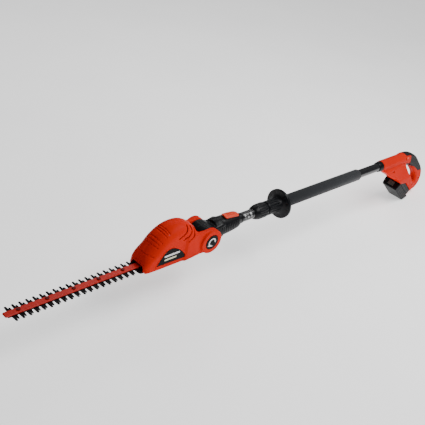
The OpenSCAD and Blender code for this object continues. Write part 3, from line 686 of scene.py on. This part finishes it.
def handle_shell(x, y, z):
    plain = handle_form(x, y, z)
    zone = in_outline(x, z, GRIP_ZONE)
    form = engraved(plain, zone, GRIP_SEAT)
    room = pack_room(x, y, z, plain + TOWER_WALL)
    wall = plain + HANDLE_WALL + GRIP_SEAT * (zone < GRIP_SEAT_REACH)
    hollow = both(wall, HANDLE_WALL - room, CASING_START - x)
    form = cut(cut(form, room, k=0.8), hollow)
    form = cut(form, block(x, y, z, *TRIGGER_SLOT, r=2), k=0.8)
    form = cut(form, both(from_pole(y, z) - POLE_ROOM, x - POLE_ROOM_END), k=0.4)
    button = from_point(x, z, LOCK_OFF_AT)
    form = cut(form, both(button - LOCK_OFF_DISH, LOCK_OFF_FLOOR - np.abs(y)), k=1.2)
    form = cut(form, button - LOCK_OFF_BORE, k=0.4)
    for at in SCREWS:
        form = cut(form, both(from_point(x, z, at) - SCREW_HOLE, y + SCREW_FLOOR), k=0.6)
    return form


# The tread on the soft grip: slanted bars with fine grooves between them
TREAD_PITCH, TREAD_HALF = 7, 0.7
TREAD_SLANT = (0.6, 0.8)
TREAD_REACH = 11  # how far it runs from the arm's middle line
TREAD_DEPTH = 0.7
GRIP_LAYER, GRIP_GAP = 2.4, 0.3


def grip_overmold(x, y, z):
    form = handle_form(x, y, z)
    row = x * TREAD_SLANT[0] - z * TREAD_SLANT[1]
    tread = np.abs(row % TREAD_PITCH - TREAD_PITCH / 2) - TREAD_HALF
    pad = engraved(form, both(tread, from_line(x, z, ARM) - TREAD_REACH), TREAD_DEPTH)
    layer = both(pad, in_outline(x, z, GRIP_ZONE) + GRIP_GAP, -(form + GRIP_LAYER))
    return cut(layer, block(x, y, z, *TRIGGER_SLOT, r=2), k=0.8)


TRIGGER = curve([(1149, -14.5), (1160, -13.5), (1171, -15), (1182, -19), (1190, -23),
                 (1192.5, -31), (1189, -39), (1178, -42.5), (1167, -40), (1157, -38),
                 (1149, -30), (1146, -21)], 4, closed=True)
TRIGGER_HALF = 8
FINGER_AT, FINGER = (1166, -52), 12  # the hollow under the finger


def trigger(x, y, z):
    paddle = thick(in_outline(x, z, TRIGGER), y, TRIGGER_HALF, r=3)
    return cut(paddle, from_point(x, z, FINGER_AT) - FINGER, k=2)


PIN, PIN_HALF, PIN_SHIFT = 6.3, 23, 1
PIN_DIMPLE, PIN_DIMPLE_DEPTH = 3.4, 0.7


def lock_off_button(x, y, z):
    axis = from_point(x, z, LOCK_OFF_AT)
    pin = thick(axis - PIN, y + PIN_SHIFT, PIN_HALF, r=1.5)
    return engraved(pin, axis - PIN_DIMPLE, PIN_DIMPLE_DEPTH)


# Battery ----------------------------------

PACK_WALL = 2.6
CASE = [(3, 0), (109, 0), (112, 2.5), (125, 28), (125, 30.8), (-1, 30.8), (0, 4)]
CASE_TOP = 30.8
CASE_HALF, CASE_SPREAD, CASE_SPREAD_HEIGHT = 34, 3, 26
CASE_LINES = (9, 16, 23)  # fine grooves along its sides
LINE_HALF, LINE_DEPTH = 0.9, 0.9
LINE_X, LINE_LENGTH, LINE_INNER = 66, 34, 26
FRONT_LATCH_ROOM = ((-9, -14, 9), (2.1, 14, 28))


def battery_case(x, y, z):
    u, w = pack_frame(x, z)
    half = CASE_HALF + CASE_SPREAD * np.clip(w / CASE_SPREAD_HEIGHT, 0, 1)
    plain = thick(in_outline(u, w, CASE), y, half, r=3)
    form = plain
    for level in CASE_LINES:
        line = both(np.abs(w - level) - LINE_HALF, np.abs(u - LINE_X) - LINE_LENGTH)
        form = engraved(form, both(line, LINE_INNER - np.abs(y)), LINE_DEPTH)
    form = both(form, -(plain + PACK_WALL), w - CASE_TOP)
    return cut(form, block(u, y, w, *FRONT_LATCH_ROOM, r=1), k=0.5)


COVER = [(0.5, 31.1), (111.5, 31.1), (111.5, 54.4), (0.5, 54.4)]
COVER_FOOT = 31.1
COVER_HALF = 36.6
TOWER = ((12, -16, 50), (62, 16, 73))
BAND_W, BAND_HALF, BAND_X, BAND_LENGTH, BAND_DEPTH = 43, 1.2, 70, 36, 1.0
REAR_LATCH_ROOM = ((106, -14, 39), (120, 14, 53))


def battery_cover(x, y, z):
    u, w = pack_frame(x, z)
    top = thick(in_outline(u, w, COVER), y, COVER_HALF, r=2.5)
    form = join(top, block(u, y, w, *TOWER, r=2), k=1)
    band = both(np.abs(w - BAND_W) - BAND_HALF, np.abs(u - BAND_X) - BAND_LENGTH)
    form = engraved(form, band, BAND_DEPTH)
    form = both(form, -(form + PACK_WALL), COVER_FOOT - w)
    return cut(form, block(u, y, w, *REAR_LATCH_ROOM, r=1), k=0.5)


LATCH_RIDGE, LATCH_RIDGE_PITCH = 0.35, 3.6


def latch(low, high, groove_w):
    """A release button between two corners in the battery's frame, with a groove at groove_w."""
    def shape(x, y, z):
        u, w = pack_frame(x, z)
        form = block(u, y, w, low, high, r=1.2)
        return form + LATCH_RIDGE * np.cos((w - groove_w) * 2 * math.pi / LATCH_RIDGE_PITCH)
    return shape


# Blades -----------------------------------

SPINE = 10.6  # half the spine's width between the teeth
SPINE_END = 10.5
NOSE = ((0, 8.4), (2.4, SPINE_END))  # the front end, from its tip back
ROOT_FLARE, ROOT_TOP = 1.2, 12
TIP_DROP, TIP_BEVEL = 1.8, 1.5


def tooth_outline(nose, rear, row, reach, root_w, tip_w):
    """A blade's plan outline: the spine, with a tooth on each side at each place in the row."""
    side = [(nose + x, y) for x, y in NOSE]
    for x in row:
        for s in (-1, 1):
            flank = [(x + s * (root_w / 2 + ROOT_FLARE), SPINE), (x + s * root_w / 2, ROOT_TOP),
                     (x + s * tip_w / 2, reach - TIP_DROP),
                     (x + s * (tip_w / 2 - TIP_BEVEL), reach)]
            side += flank if s < 0 else reversed(flank)
    return mirrored(side + [(rear, SPINE_END)])


def from_least(face):
    """A face listed from its lowest point number on, so that each run lists it alike."""
    start = face.index(min(face))
    return face[start:] + face[:start]


def ground_plate(name, outline, edge, body, slot, material=None):
    """A flat plate at its CAD node's height, whose upper edge is ground back by `edge`."""
    low, high = ((corner.z - ORIGIN.z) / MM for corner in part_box(name))
    bm = bmesh.new()
    base = bm.faces.new([bm.verts.new((x, y, low)) for x, y in outline])
    lifted = bmesh.ops.extrude_face_region(bm, geom=[base])
    top = [v for v in lifted["geom"] if isinstance(v, bmesh.types.BMVert)]
    bmesh.ops.translate(bm, verts=top, vec=(0, 0, high - low))
    rim = [e for e in bm.edges if all(v in top for v in e.verts)]
    bmesh.ops.bevel(bm, geom=rim, offset=edge, segments=1, affect="EDGES", clamp_overlap=True)
    bmesh.ops.recalc_face_normals(bm, faces=bm.faces)
    bmesh.ops.triangulate(bm, faces=[f for f in bm.faces if len(f.verts) > 4])
    bm.verts.index_update()
    points = [tuple(v.co) for v in bm.verts]
    faces = sorted(from_least([v.index for v in f.verts]) for f in bm.faces)
    bm.free()
    obj = piece(name, points, faces, body, [name], slot, material)
    obj.data.polygons.foreach_set("use_smooth", [False] * len(faces))


# Materials --------------------------------

PATCHY = (0.3, 0.7)  # what part of a noise is spread out into soft patches


class Nodes:
    """A material's node tree, with short calls for what is used here."""

    def __init__(self, name):
        self.material = bpy.data.materials.new(name)
        self.material.use_nodes = True
        self.tree = self.material.node_tree
        self.shader = self.tree.nodes["Principled BSDF"]
        self.where = self.tree.nodes.new("ShaderNodeTexCoord").outputs["Object"]

    def link(self, a, b):
        self.tree.links.new(a, b)

    def feed(self, value, socket):
        """A plain value, a colour or another node's output, put into a socket."""
        if isinstance(value, tuple):
            socket.default_value = (*value, 1)
        elif isinstance(value, (int, float)):
            socket.default_value = value
        else:
            self.link(value, socket)

    def stretched(self, x, y, z):
        mapping = self.tree.nodes.new("ShaderNodeMapping")
        mapping.inputs["Scale"].default_value = (x, y, z)
        self.link(self.where, mapping.inputs["Vector"])
        return mapping.outputs["Vector"]

    def noise(self, scale, detail=3.0, vector=None):
        node = self.tree.nodes.new("ShaderNodeTexNoise")
        node.inputs["Scale"].default_value = scale
        node.inputs["Detail"].default_value = detail
        self.link(vector or self.where, node.inputs["Vector"])
        return node.outputs["Fac"]

    def cells(self, scale):
        node = self.tree.nodes.new("ShaderNodeTexVoronoi")
        node.inputs["Scale"].default_value = scale
        self.link(self.where, node.inputs["Vector"])
        return node.outputs["Distance"]

    def between(self, value, low, high, out_low=0.0, out_high=1.0):
        node = self.tree.nodes.new("ShaderNodeMapRange")
        for key, v in (("From Min", low), ("From Max", high), ("To Min", out_low),
                       ("To Max", out_high)):
            node.inputs[key].default_value = v
        self.link(value, node.inputs["Value"])
        return node.outputs["Result"]

    def patches(self, scale, detail=3.0, out_low=0.0, out_high=1.0):
        return self.between(self.noise(scale, detail), *PATCHY, out_low, out_high)

    def math(self, kind, a, b):
        node = self.tree.nodes.new("ShaderNodeMath")
        node.operation = kind
        self.feed(a, node.inputs[0])
        self.feed(b, node.inputs[1])
        return node.outputs["Value"]

    def mix(self, amount, a, b):
        node = self.tree.nodes.new("ShaderNodeMix")
        node.data_type = "RGBA"
        for index, value in ((0, amount), (6, a), (7, b)):
            self.feed(value, node.inputs[index])
        return node.outputs[2]

    def edges(self):
        """Near 1 on outer edges and 0 on flats: the edges are worn, and also carry a painted
        highlight.
        """
        node = self.tree.nodes.new("ShaderNodeNewGeometry")
        return self.between(node.outputs["Pointiness"], 0.515, 0.57)

    def colour(self, value):
        self.feed(value, self.shader.inputs["Base Color"])

    def set(self, **values):
        names = {"rough": "Roughness", "metal": "Metallic", "coat": "Coat Weight",
                 "coat_rough": "Coat Roughness", "specular": "Specular IOR Level",
                 "sheen": "Sheen Weight"}
        for key, value in values.items():
            self.feed(value, self.shader.inputs[names[key]])

    def bump(self, height, strength, distance):
        node = self.tree.nodes.new("ShaderNodeBump")
        node.inputs["Strength"].default_value = strength
        node.inputs["Distance"].default_value = distance
        self.link(height, node.inputs["Height"])
        self.link(node.outputs["Normal"], self.shader.inputs["Normal"])


def shade(colour, factor):
    return tuple(c * factor for c in colour)


def plastic(name, colour, rough, grain=1800, depth=0.00006, wear_and_highlight=1.25, shine=0.3):
    """Moulded plastic: fine spark-eroded grain, faint colour drift, and paler outer edges that
    are partly wear and partly a painted highlight.
    """
    m = Nodes(name)
    body = m.mix(m.patches(9, 4), shade(colour, 0.93), shade(colour, 1.06))
    # Outer edges are painted paler: partly wear, partly a painted highlight.
    m.colour(m.mix(m.math("MULTIPLY", m.edges(), 0.5), body, shade(colour, wear_and_highlight)))
    m.set(rough=m.between(m.noise(60, 3), 0.25, 0.75, rough - 0.05, rough + 0.06),
          specular=shine)
    m.bump(m.noise(grain, 2), strength=0.35, distance=depth)
    return m.material


def rubber(name, colour, rough):
    """Soft grip: matt, with faint patches and a fine grain."""
    m = Nodes(name)
    m.colour(m.mix(m.patches(30, 4), shade(colour, 0.85), shade(colour, 1.25)))
    m.set(rough=rough, specular=0.25)
    m.bump(m.noise(2600, 2), strength=0.5, distance=0.00012)
    return m.material


def foam_skin(name, colour):
    """Foam sleeve: small open cells over slow patches."""
    m = Nodes(name)
    cells = m.cells(900)
    tint = m.math("ADD", m.between(cells, 0.0, 0.6, 0.0, 0.6), m.patches(22, 5, 0.0, 0.4))
    m.colour(m.mix(tint, shade(colour, 0.8), shade(colour, 1.25)))
    m.set(rough=0.88, specular=0.25, sheen=0.15)
    m.bump(m.math("ADD", cells, m.between(m.noise(140, 3), 0, 1, 0, 0.6)), strength=0.6,
           distance=0.0003)
    return m.material


def metal(name, colour, rough, along=(40, 900, 900)):
    """Ground or machined metal, with the marks running one way and faint staining."""
    m = Nodes(name)
    marks = m.noise(1.0, 3, m.stretched(*along))
    streaks = m.mix(m.between(marks, *PATCHY), shade(colour, 0.85), shade(colour, 1.1))
    stains = m.between(m.noise(35, 5), 0.45, 0.75, 0, 0.25)
    m.colour(m.mix(stains, streaks, shade(colour, 0.5)))
    m.set(metal=1.0, rough=m.between(marks, *PATCHY, rough - 0.06, rough + 0.08))
    m.bump(marks, strength=0.12, distance=0.00004)
    return m.material


def paint(name, colour, rough, coat, shine):
    """Sprayed paint with slight orange peel."""
    m = Nodes(name)
    m.colour(m.mix(m.patches(14, 3), shade(colour, 0.92), shade(colour, 1.08)))
    m.set(rough=m.patches(80, 3, rough - 0.04, rough + 0.05), coat=coat, coat_rough=0.08,
          specular=shine)
    m.bump(m.noise(420, 2), strength=0.15, distance=0.00008)
    return m.material


# Plain blocks on the neck label: where each starts along and up, and how pale it is
LABEL_BLOCKS = [(181, 10, 1.0), (193, 10, 0.25), (208, 10, 1.0), (181, 2.5, 0.2),
                (194, 2.5, 0.8), (208, 2.5, 0.45)]
LABEL_BLOCK = (8, 5.2)  # each one's length and height
LABEL_GROUND = (0.012, 0.012, 0.014)
LABEL_PRINT = (0.55, 0.56, 0.56)


def label_film(name):
    """Printed film: plain pale and grey blocks in two rows on a dark ground."""
    m = Nodes(name)
    split = m.tree.nodes.new("ShaderNodeSeparateXYZ")
    m.link(m.where, split.inputs[0])
    blocks = 0.0
    for x, z, tone in LABEL_BLOCKS:
        start, base = place(x, 0, 0).x, place(0, 0, z).z
        for axis, low, size in ((0, start, LABEL_BLOCK[0] * MM), (2, base, LABEL_BLOCK[1] * MM)):
            inside = m.math("MULTIPLY", m.math("GREATER_THAN", split.outputs[axis], low),
                            m.math("LESS_THAN", split.outputs[axis], low + size))
            tone = m.math("MULTIPLY", inside, tone)
        blocks = m.math("ADD", tone, blocks)
    printed = m.math("MULTIPLY", blocks, m.patches(60, 3.0, 0.8, 1.0))
    m.colour(m.mix(printed, LABEL_GROUND, LABEL_PRINT))
    m.set(rough=0.35, coat=0.2)
    m.bump(m.noise(900), strength=0.1, distance=0.00003)
    return m.material


# A low shine keeps the glowing floor's reflection from washing the colours out
orange = plastic("orange_plastic", (0.62, 0.018, 0.006), rough=0.38, wear_and_highlight=1.3, shine=0.02)
orange_button = plastic("orange_button_plastic", (0.78, 0.045, 0.01), rough=0.36)
black = plastic("black_plastic", (0.005, 0.0055, 0.0068), rough=0.36, wear_and_highlight=2.6, shine=0.15)
gloss_black = plastic("gloss_black_plastic", (0.002, 0.002, 0.0022), rough=0.2, grain=500,
                      depth=0.00001, shine=0.05)
grip = rubber("grip_rubber", (0.008, 0.008, 0.009), rough=0.6)
foam = foam_skin("foam_skin", (0.011, 0.0125, 0.015))
tube_paint = paint("tube_paint", (0.008, 0.008, 0.01), rough=0.22, coat=0.3, shine=0.5)
bar_paint = paint("bar_paint", (0.5, 0.016, 0.01), rough=0.34, coat=0, shine=0.15)
bolt_paint = paint("bolt_paint", (0.12, 0.006, 0.005), rough=0.45, coat=0, shine=0.15)
blade_upper = metal("blade_steel_dark", (0.008, 0.008, 0.009), rough=0.4)
blade_lower = metal("blade_steel", (0.016, 0.016, 0.018), rough=0.38)
bright_steel = metal("bright_steel", (0.55, 0.56, 0.58), rough=0.28)
cast_alloy = metal("cast_alloy", (0.5, 0.51, 0.53), rough=0.42, along=(300, 300, 300))
dark_steel = metal("dark_steel", (0.08, 0.08, 0.085), rough=0.4)
bronze = metal("bronze", (0.5, 0.31, 0.14), rough=0.35)
copper = metal("copper", (0.6, 0.27, 0.13), rough=0.35)
pale_mark = plastic("pale_mark", (0.72, 0.72, 0.71), rough=0.4)
cream_mark = plastic("cream_mark", (0.75, 0.72, 0.5), rough=0.4)
latch_plastic = plastic("latch_plastic", (0.06, 0.07, 0.062), rough=0.45)
case_plastic = plastic("case_plastic", (0.005, 0.0055, 0.0065), rough=0.36, wear_and_highlight=2.6,
                       shine=0.08)
wire_skin = plastic("wire_skin", (0.03, 0.03, 0.08), rough=0.4)
cell_sleeve = plastic("cell_sleeve", (0.08, 0.2, 0.34), rough=0.3)
film = label_film("label_film")

# What each slot wears, where a piece or a CAD node has nothing of its own
FINISHES = {
    "orange_shell": orange, "black_shell": black, "soft_grip": grip, "foam": foam,
    "tube": tube_paint, "steel": bright_steel, "dark_steel": dark_steel, "bar_red": bar_paint,
    "gearcase_alloy": cast_alloy, "bronze": bronze, "copper": copper, "label": film,
    "wire": wire_skin, "cell": cell_sleeve, "latch_grey": latch_plastic,
}
NODE_FINISHES = {"bar_bolts": bolt_paint}

# Pieces -----------------------------------

SEAM = 0.05  # how far each half of a casing stays from the middle plane


def moulded(name, shape, low, high, step, body, slot, material=None, nodes=None):
    """A piece skinned between two corners, in place of the CAD node of its name or of nodes."""
    points, quads = skin(shape, low, high, step * FINE)
    piece(name, points, quads, body, [name] if nodes is None else nodes, slot, material)


def pair(stem, shape, x_span, reach, z_span, step, body, slot, material=None):
    """The two halves of a shape, split at the middle plane and reaching this far from it."""
    for side, word in SIDES:
        low, high = sorted((0, side * reach))
        moulded(f"{stem}_{word}", lambda x, y, z: both(shape(x, y, z), SEAM - side * y),
                (x_span[0], low, z_span[0]), (x_span[1], high, z_span[1]), step, body, slot,
                material)


def lathe(name, section, body, slot):
    """A ring turned from its section, as a mesh of flat strips."""
    turns = [2 * math.pi * k / LATHE_SIDES for k in range(LATHE_SIDES)]
    points = [(x, r * math.cos(t), r * math.sin(t)) for x, r in section for t in turns]
    faces = []
    for i in range(len(section)):
        here, there = i * LATHE_SIDES, (i + 1) % len(section) * LATHE_SIDES
        for k in range(LATHE_SIDES):
            after = (k + 1) % LATHE_SIDES
            faces.append((here + k, here + after, there + after, there + k))
    piece(name, points, faces, body, [name], slot)


# Each call gives the shape's box in millimetres and the step of the grid it is skinned on
pair("head_shell", head_shell, (-260, 44), 54, (-52, 82), 1.05, "head", "orange_shell")
pair("badge", badge_panel, (-222, -98), 44, (-36, 22), 1.0, "head", "black_shell", gloss_black)
moulded("gearcase_cover", chin, (-268, -33, -48), (-80, 33, -43), 1.0, "head", "black_shell")
# Plain marks in place of printing, by their spans along, out from the middle and up
MARKS = [("badge_bar_upper", badge_bar(*UPPER_BAR), (-190, -124), (40, 44), (-9, 1), pale_mark),
         ("badge_bar_lower", badge_bar(*LOWER_BAR), (-190, -136), (40, 44), (-22, -12),
          cream_mark),
         ("cap_mark", cap_mark, (-20, 20), (50, 53), (-30, 12), pale_mark)]
for side, word in SIDES:
    for stem, shape, along, out, up, material in MARKS:
        near, far = sorted(side * y for y in out)
        moulded(f"{stem}_{word}", shape, (along[0], near, up[0]), (along[1], far, up[1]), 0.6,
                "head", "label", material, nodes=[])
pair("pivot_cap", pivot_cap, (-27, 27), 54, (-35, 19), 0.8, "head", "black_shell", gloss_black)
pair("yoke_shell", yoke_shell, (-42, 176), 34, (-50, 36), 1.2, "front_pole", "black_shell")
moulded("lock_button", lock_button, (86, -16, -5), (154, 16, 38), 0.8, "pivot_lock",
        "orange_shell", orange_button)
moulded("coupling_collar", collar, (229, -28, -28), (291, 28, 28), 0.9, "collar",
        "black_shell")
moulded("hand_guard", hand_guard, (292, -53.5, -53.5), (375, 53.5, 53.5), 1.1, "handle",
        "black_shell")
lathe("foam_grip", FOAM, "handle", "foam")
lathe("tube_ferrule", FERRULE, "handle", "black_shell")
pair("handle_shell", handle_shell, (966, 1312), 40, (-186, 24), 1.3, "handle", "orange_shell")
moulded("grip_overmold", grip_overmold, (1115, -20, -96), (1312, 20, 24), 1.1, "handle",
        "soft_grip")
moulded("trigger", trigger, (1143, -9.5, -46), (1196, 9.5, -10), 0.8, "trigger",
        "black_shell")
moulded("lock_off_button", lock_off_button, (1121, -26, -1), (1139, 24, 17), 0.7, "lock_off",
        "orange_shell", orange_button)
moulded("battery_case", battery_case, (1085, -39, -200), (1212, 39, -98), 1.2, "battery",
        "black_shell", case_plastic)
moulded("battery_cover", battery_cover, (1104, -39, -182), (1216, 39, -70), 1.2, "battery",
        "black_shell", case_plastic)
moulded("battery_latch_front", latch((-3, -13.5, 9.5), (0.4, 13.5, 27.5), 18),
        (1088, -15, -124), (1112, 15, -100), 0.7, "latch_front", "latch_grey")
moulded("battery_latch_rear", latch((108.8, -13.5, 39.5), (118, 13.5, 52.5), 46),
        (1194, -15, -178), (1216, 15, -154), 0.7, "latch_rear", "latch_grey")

PITCH = 21.4
LONG_TEETH = [-677 + PITCH * i for i in range(20)]
SHORT_TEETH = [x + 9 for x in LONG_TEETH]
BLADE_REAR = -172
BAR = mirrored([(-698.5, 8), (-695.5, 10.6), (-210, 10.6), (-206, 8.5), (-204, 4)])

long_outline = tooth_outline(-692, BLADE_REAR, LONG_TEETH, reach=32.5, root_w=9.6, tip_w=6.6)
short_outline = tooth_outline(-691, BLADE_REAR, SHORT_TEETH, reach=26, root_w=8.4, tip_w=5.4)
ground_plate("upper_blade", long_outline, 0.9, "upper_blade", "dark_steel", blade_upper)
ground_plate("lower_blade", short_outline, 0.8, "lower_blade", "dark_steel", blade_lower)
ground_plate("blade_bar", BAR, 1.9, "head", "bar_red")

for part in frame["record"]["subparts"]:
    shown = frame["nodes"][part["node"]]
    shown.data.materials.clear()
    slot = part["material_slot"]
    shown.data.materials.append(NODE_FINISHES.get(part["node"], FINISHES[slot]))

# Floor, lights and camera -----------------

FLOOR_HALF = 14
FLOOR_CELLS = 8
FLOOR_GAP = 0.0005  # how far it is below the tool, so that the two don't share a plane
FLOOR_GLOW = 0.85
FLOOR_TONES = ((0.9, 0.9, 0.905), (0.93, 0.93, 0.93))
WHITE = (1, 1, 1, 1)
WORLD = 0.17
LIT_POINT = (150, 0, 0)
# Each light's place from that point in metres, its size and its power in watts
LIGHTS = {"key": ((1.0, -1.0, 2.3), (2.4, 0.8), 85), "back": ((1.2, 1.6, 1.7), (1.8, 0.6), 10)}

# The camera lines up with the photo: it was fitted to the outlines of pole, blades and handle
SENSOR = 36
LENS = 66.2
AZIMUTH = math.radians(-49.05)
ELEVATION = math.radians(31.02)
ROLL = math.radians(11.34)
TARGET = (32.6, 0, 63.6)
DISTANCE = 2.452
FAR = 100


def floor():
    bm = bmesh.new()
    bmesh.ops.create_grid(bm, x_segments=FLOOR_CELLS, y_segments=FLOOR_CELLS, size=FLOOR_HALF)
    mesh = bpy.data.meshes.new("floor")
    bm.to_mesh(mesh)
    bm.free()
    obj = bpy.data.objects.new("floor", mesh)
    bpy.context.scene.collection.objects.link(obj)
    obj.location.z = cad_box[0][2] - FLOOR_GAP
    m = Nodes("pale_floor")
    pale = m.mix(m.patches(2.5, 3), *FLOOR_TONES)
    m.colour(pale)
    m.link(pale, m.shader.inputs["Emission Color"])
    m.shader.inputs["Emission Strength"].default_value = FLOOR_GLOW
    m.set(rough=0.9, specular=0.1)
    mesh.materials.append(m.material)


def area_light(name, offset, size, power):
    data = bpy.data.lights.new(name, "AREA")
    data.shape = "RECTANGLE"
    data.size, data.size_y = size
    data.energy = power
    obj = bpy.data.objects.new(name, data)
    bpy.context.scene.collection.objects.link(obj)
    lit = place(*LIT_POINT)
    obj.location = lit + Vector(offset)
    obj.rotation_euler = (lit - obj.location).to_track_quat("-Z", "Y").to_euler()


def studio():
    world = bpy.data.worlds.new("studio")
    world.use_nodes = True
    background = world.node_tree.nodes["Background"]
    background.inputs["Color"].default_value = WHITE
    background.inputs["Strength"].default_value = WORLD
    bpy.context.scene.world = world
    for name, values in LIGHTS.items():
        area_light(name, *values)


def camera():
    data = bpy.data.cameras.new("camera")
    data.sensor_width = SENSOR
    data.lens = LENS
    data.clip_end = FAR
    obj = bpy.data.objects.new("camera", data)
    bpy.context.scene.collection.objects.link(obj)
    back = Vector((math.cos(ELEVATION) * math.sin(AZIMUTH),
                   -math.cos(ELEVATION) * math.cos(AZIMUTH), math.sin(ELEVATION)))
    level = Vector((0, 0, 1)).cross(back).normalized()
    upright = back.cross(level)
    right = level * math.cos(ROLL) + upright * math.sin(ROLL)
    up = upright * math.cos(ROLL) - level * math.sin(ROLL)
    turn = Matrix((right, up, back)).transposed()
    obj.matrix_world = Matrix.Translation(place(*TARGET) + back * DISTANCE) @ turn.to_4x4()
    bpy.context.scene.camera = obj


floor()
studio()
camera()
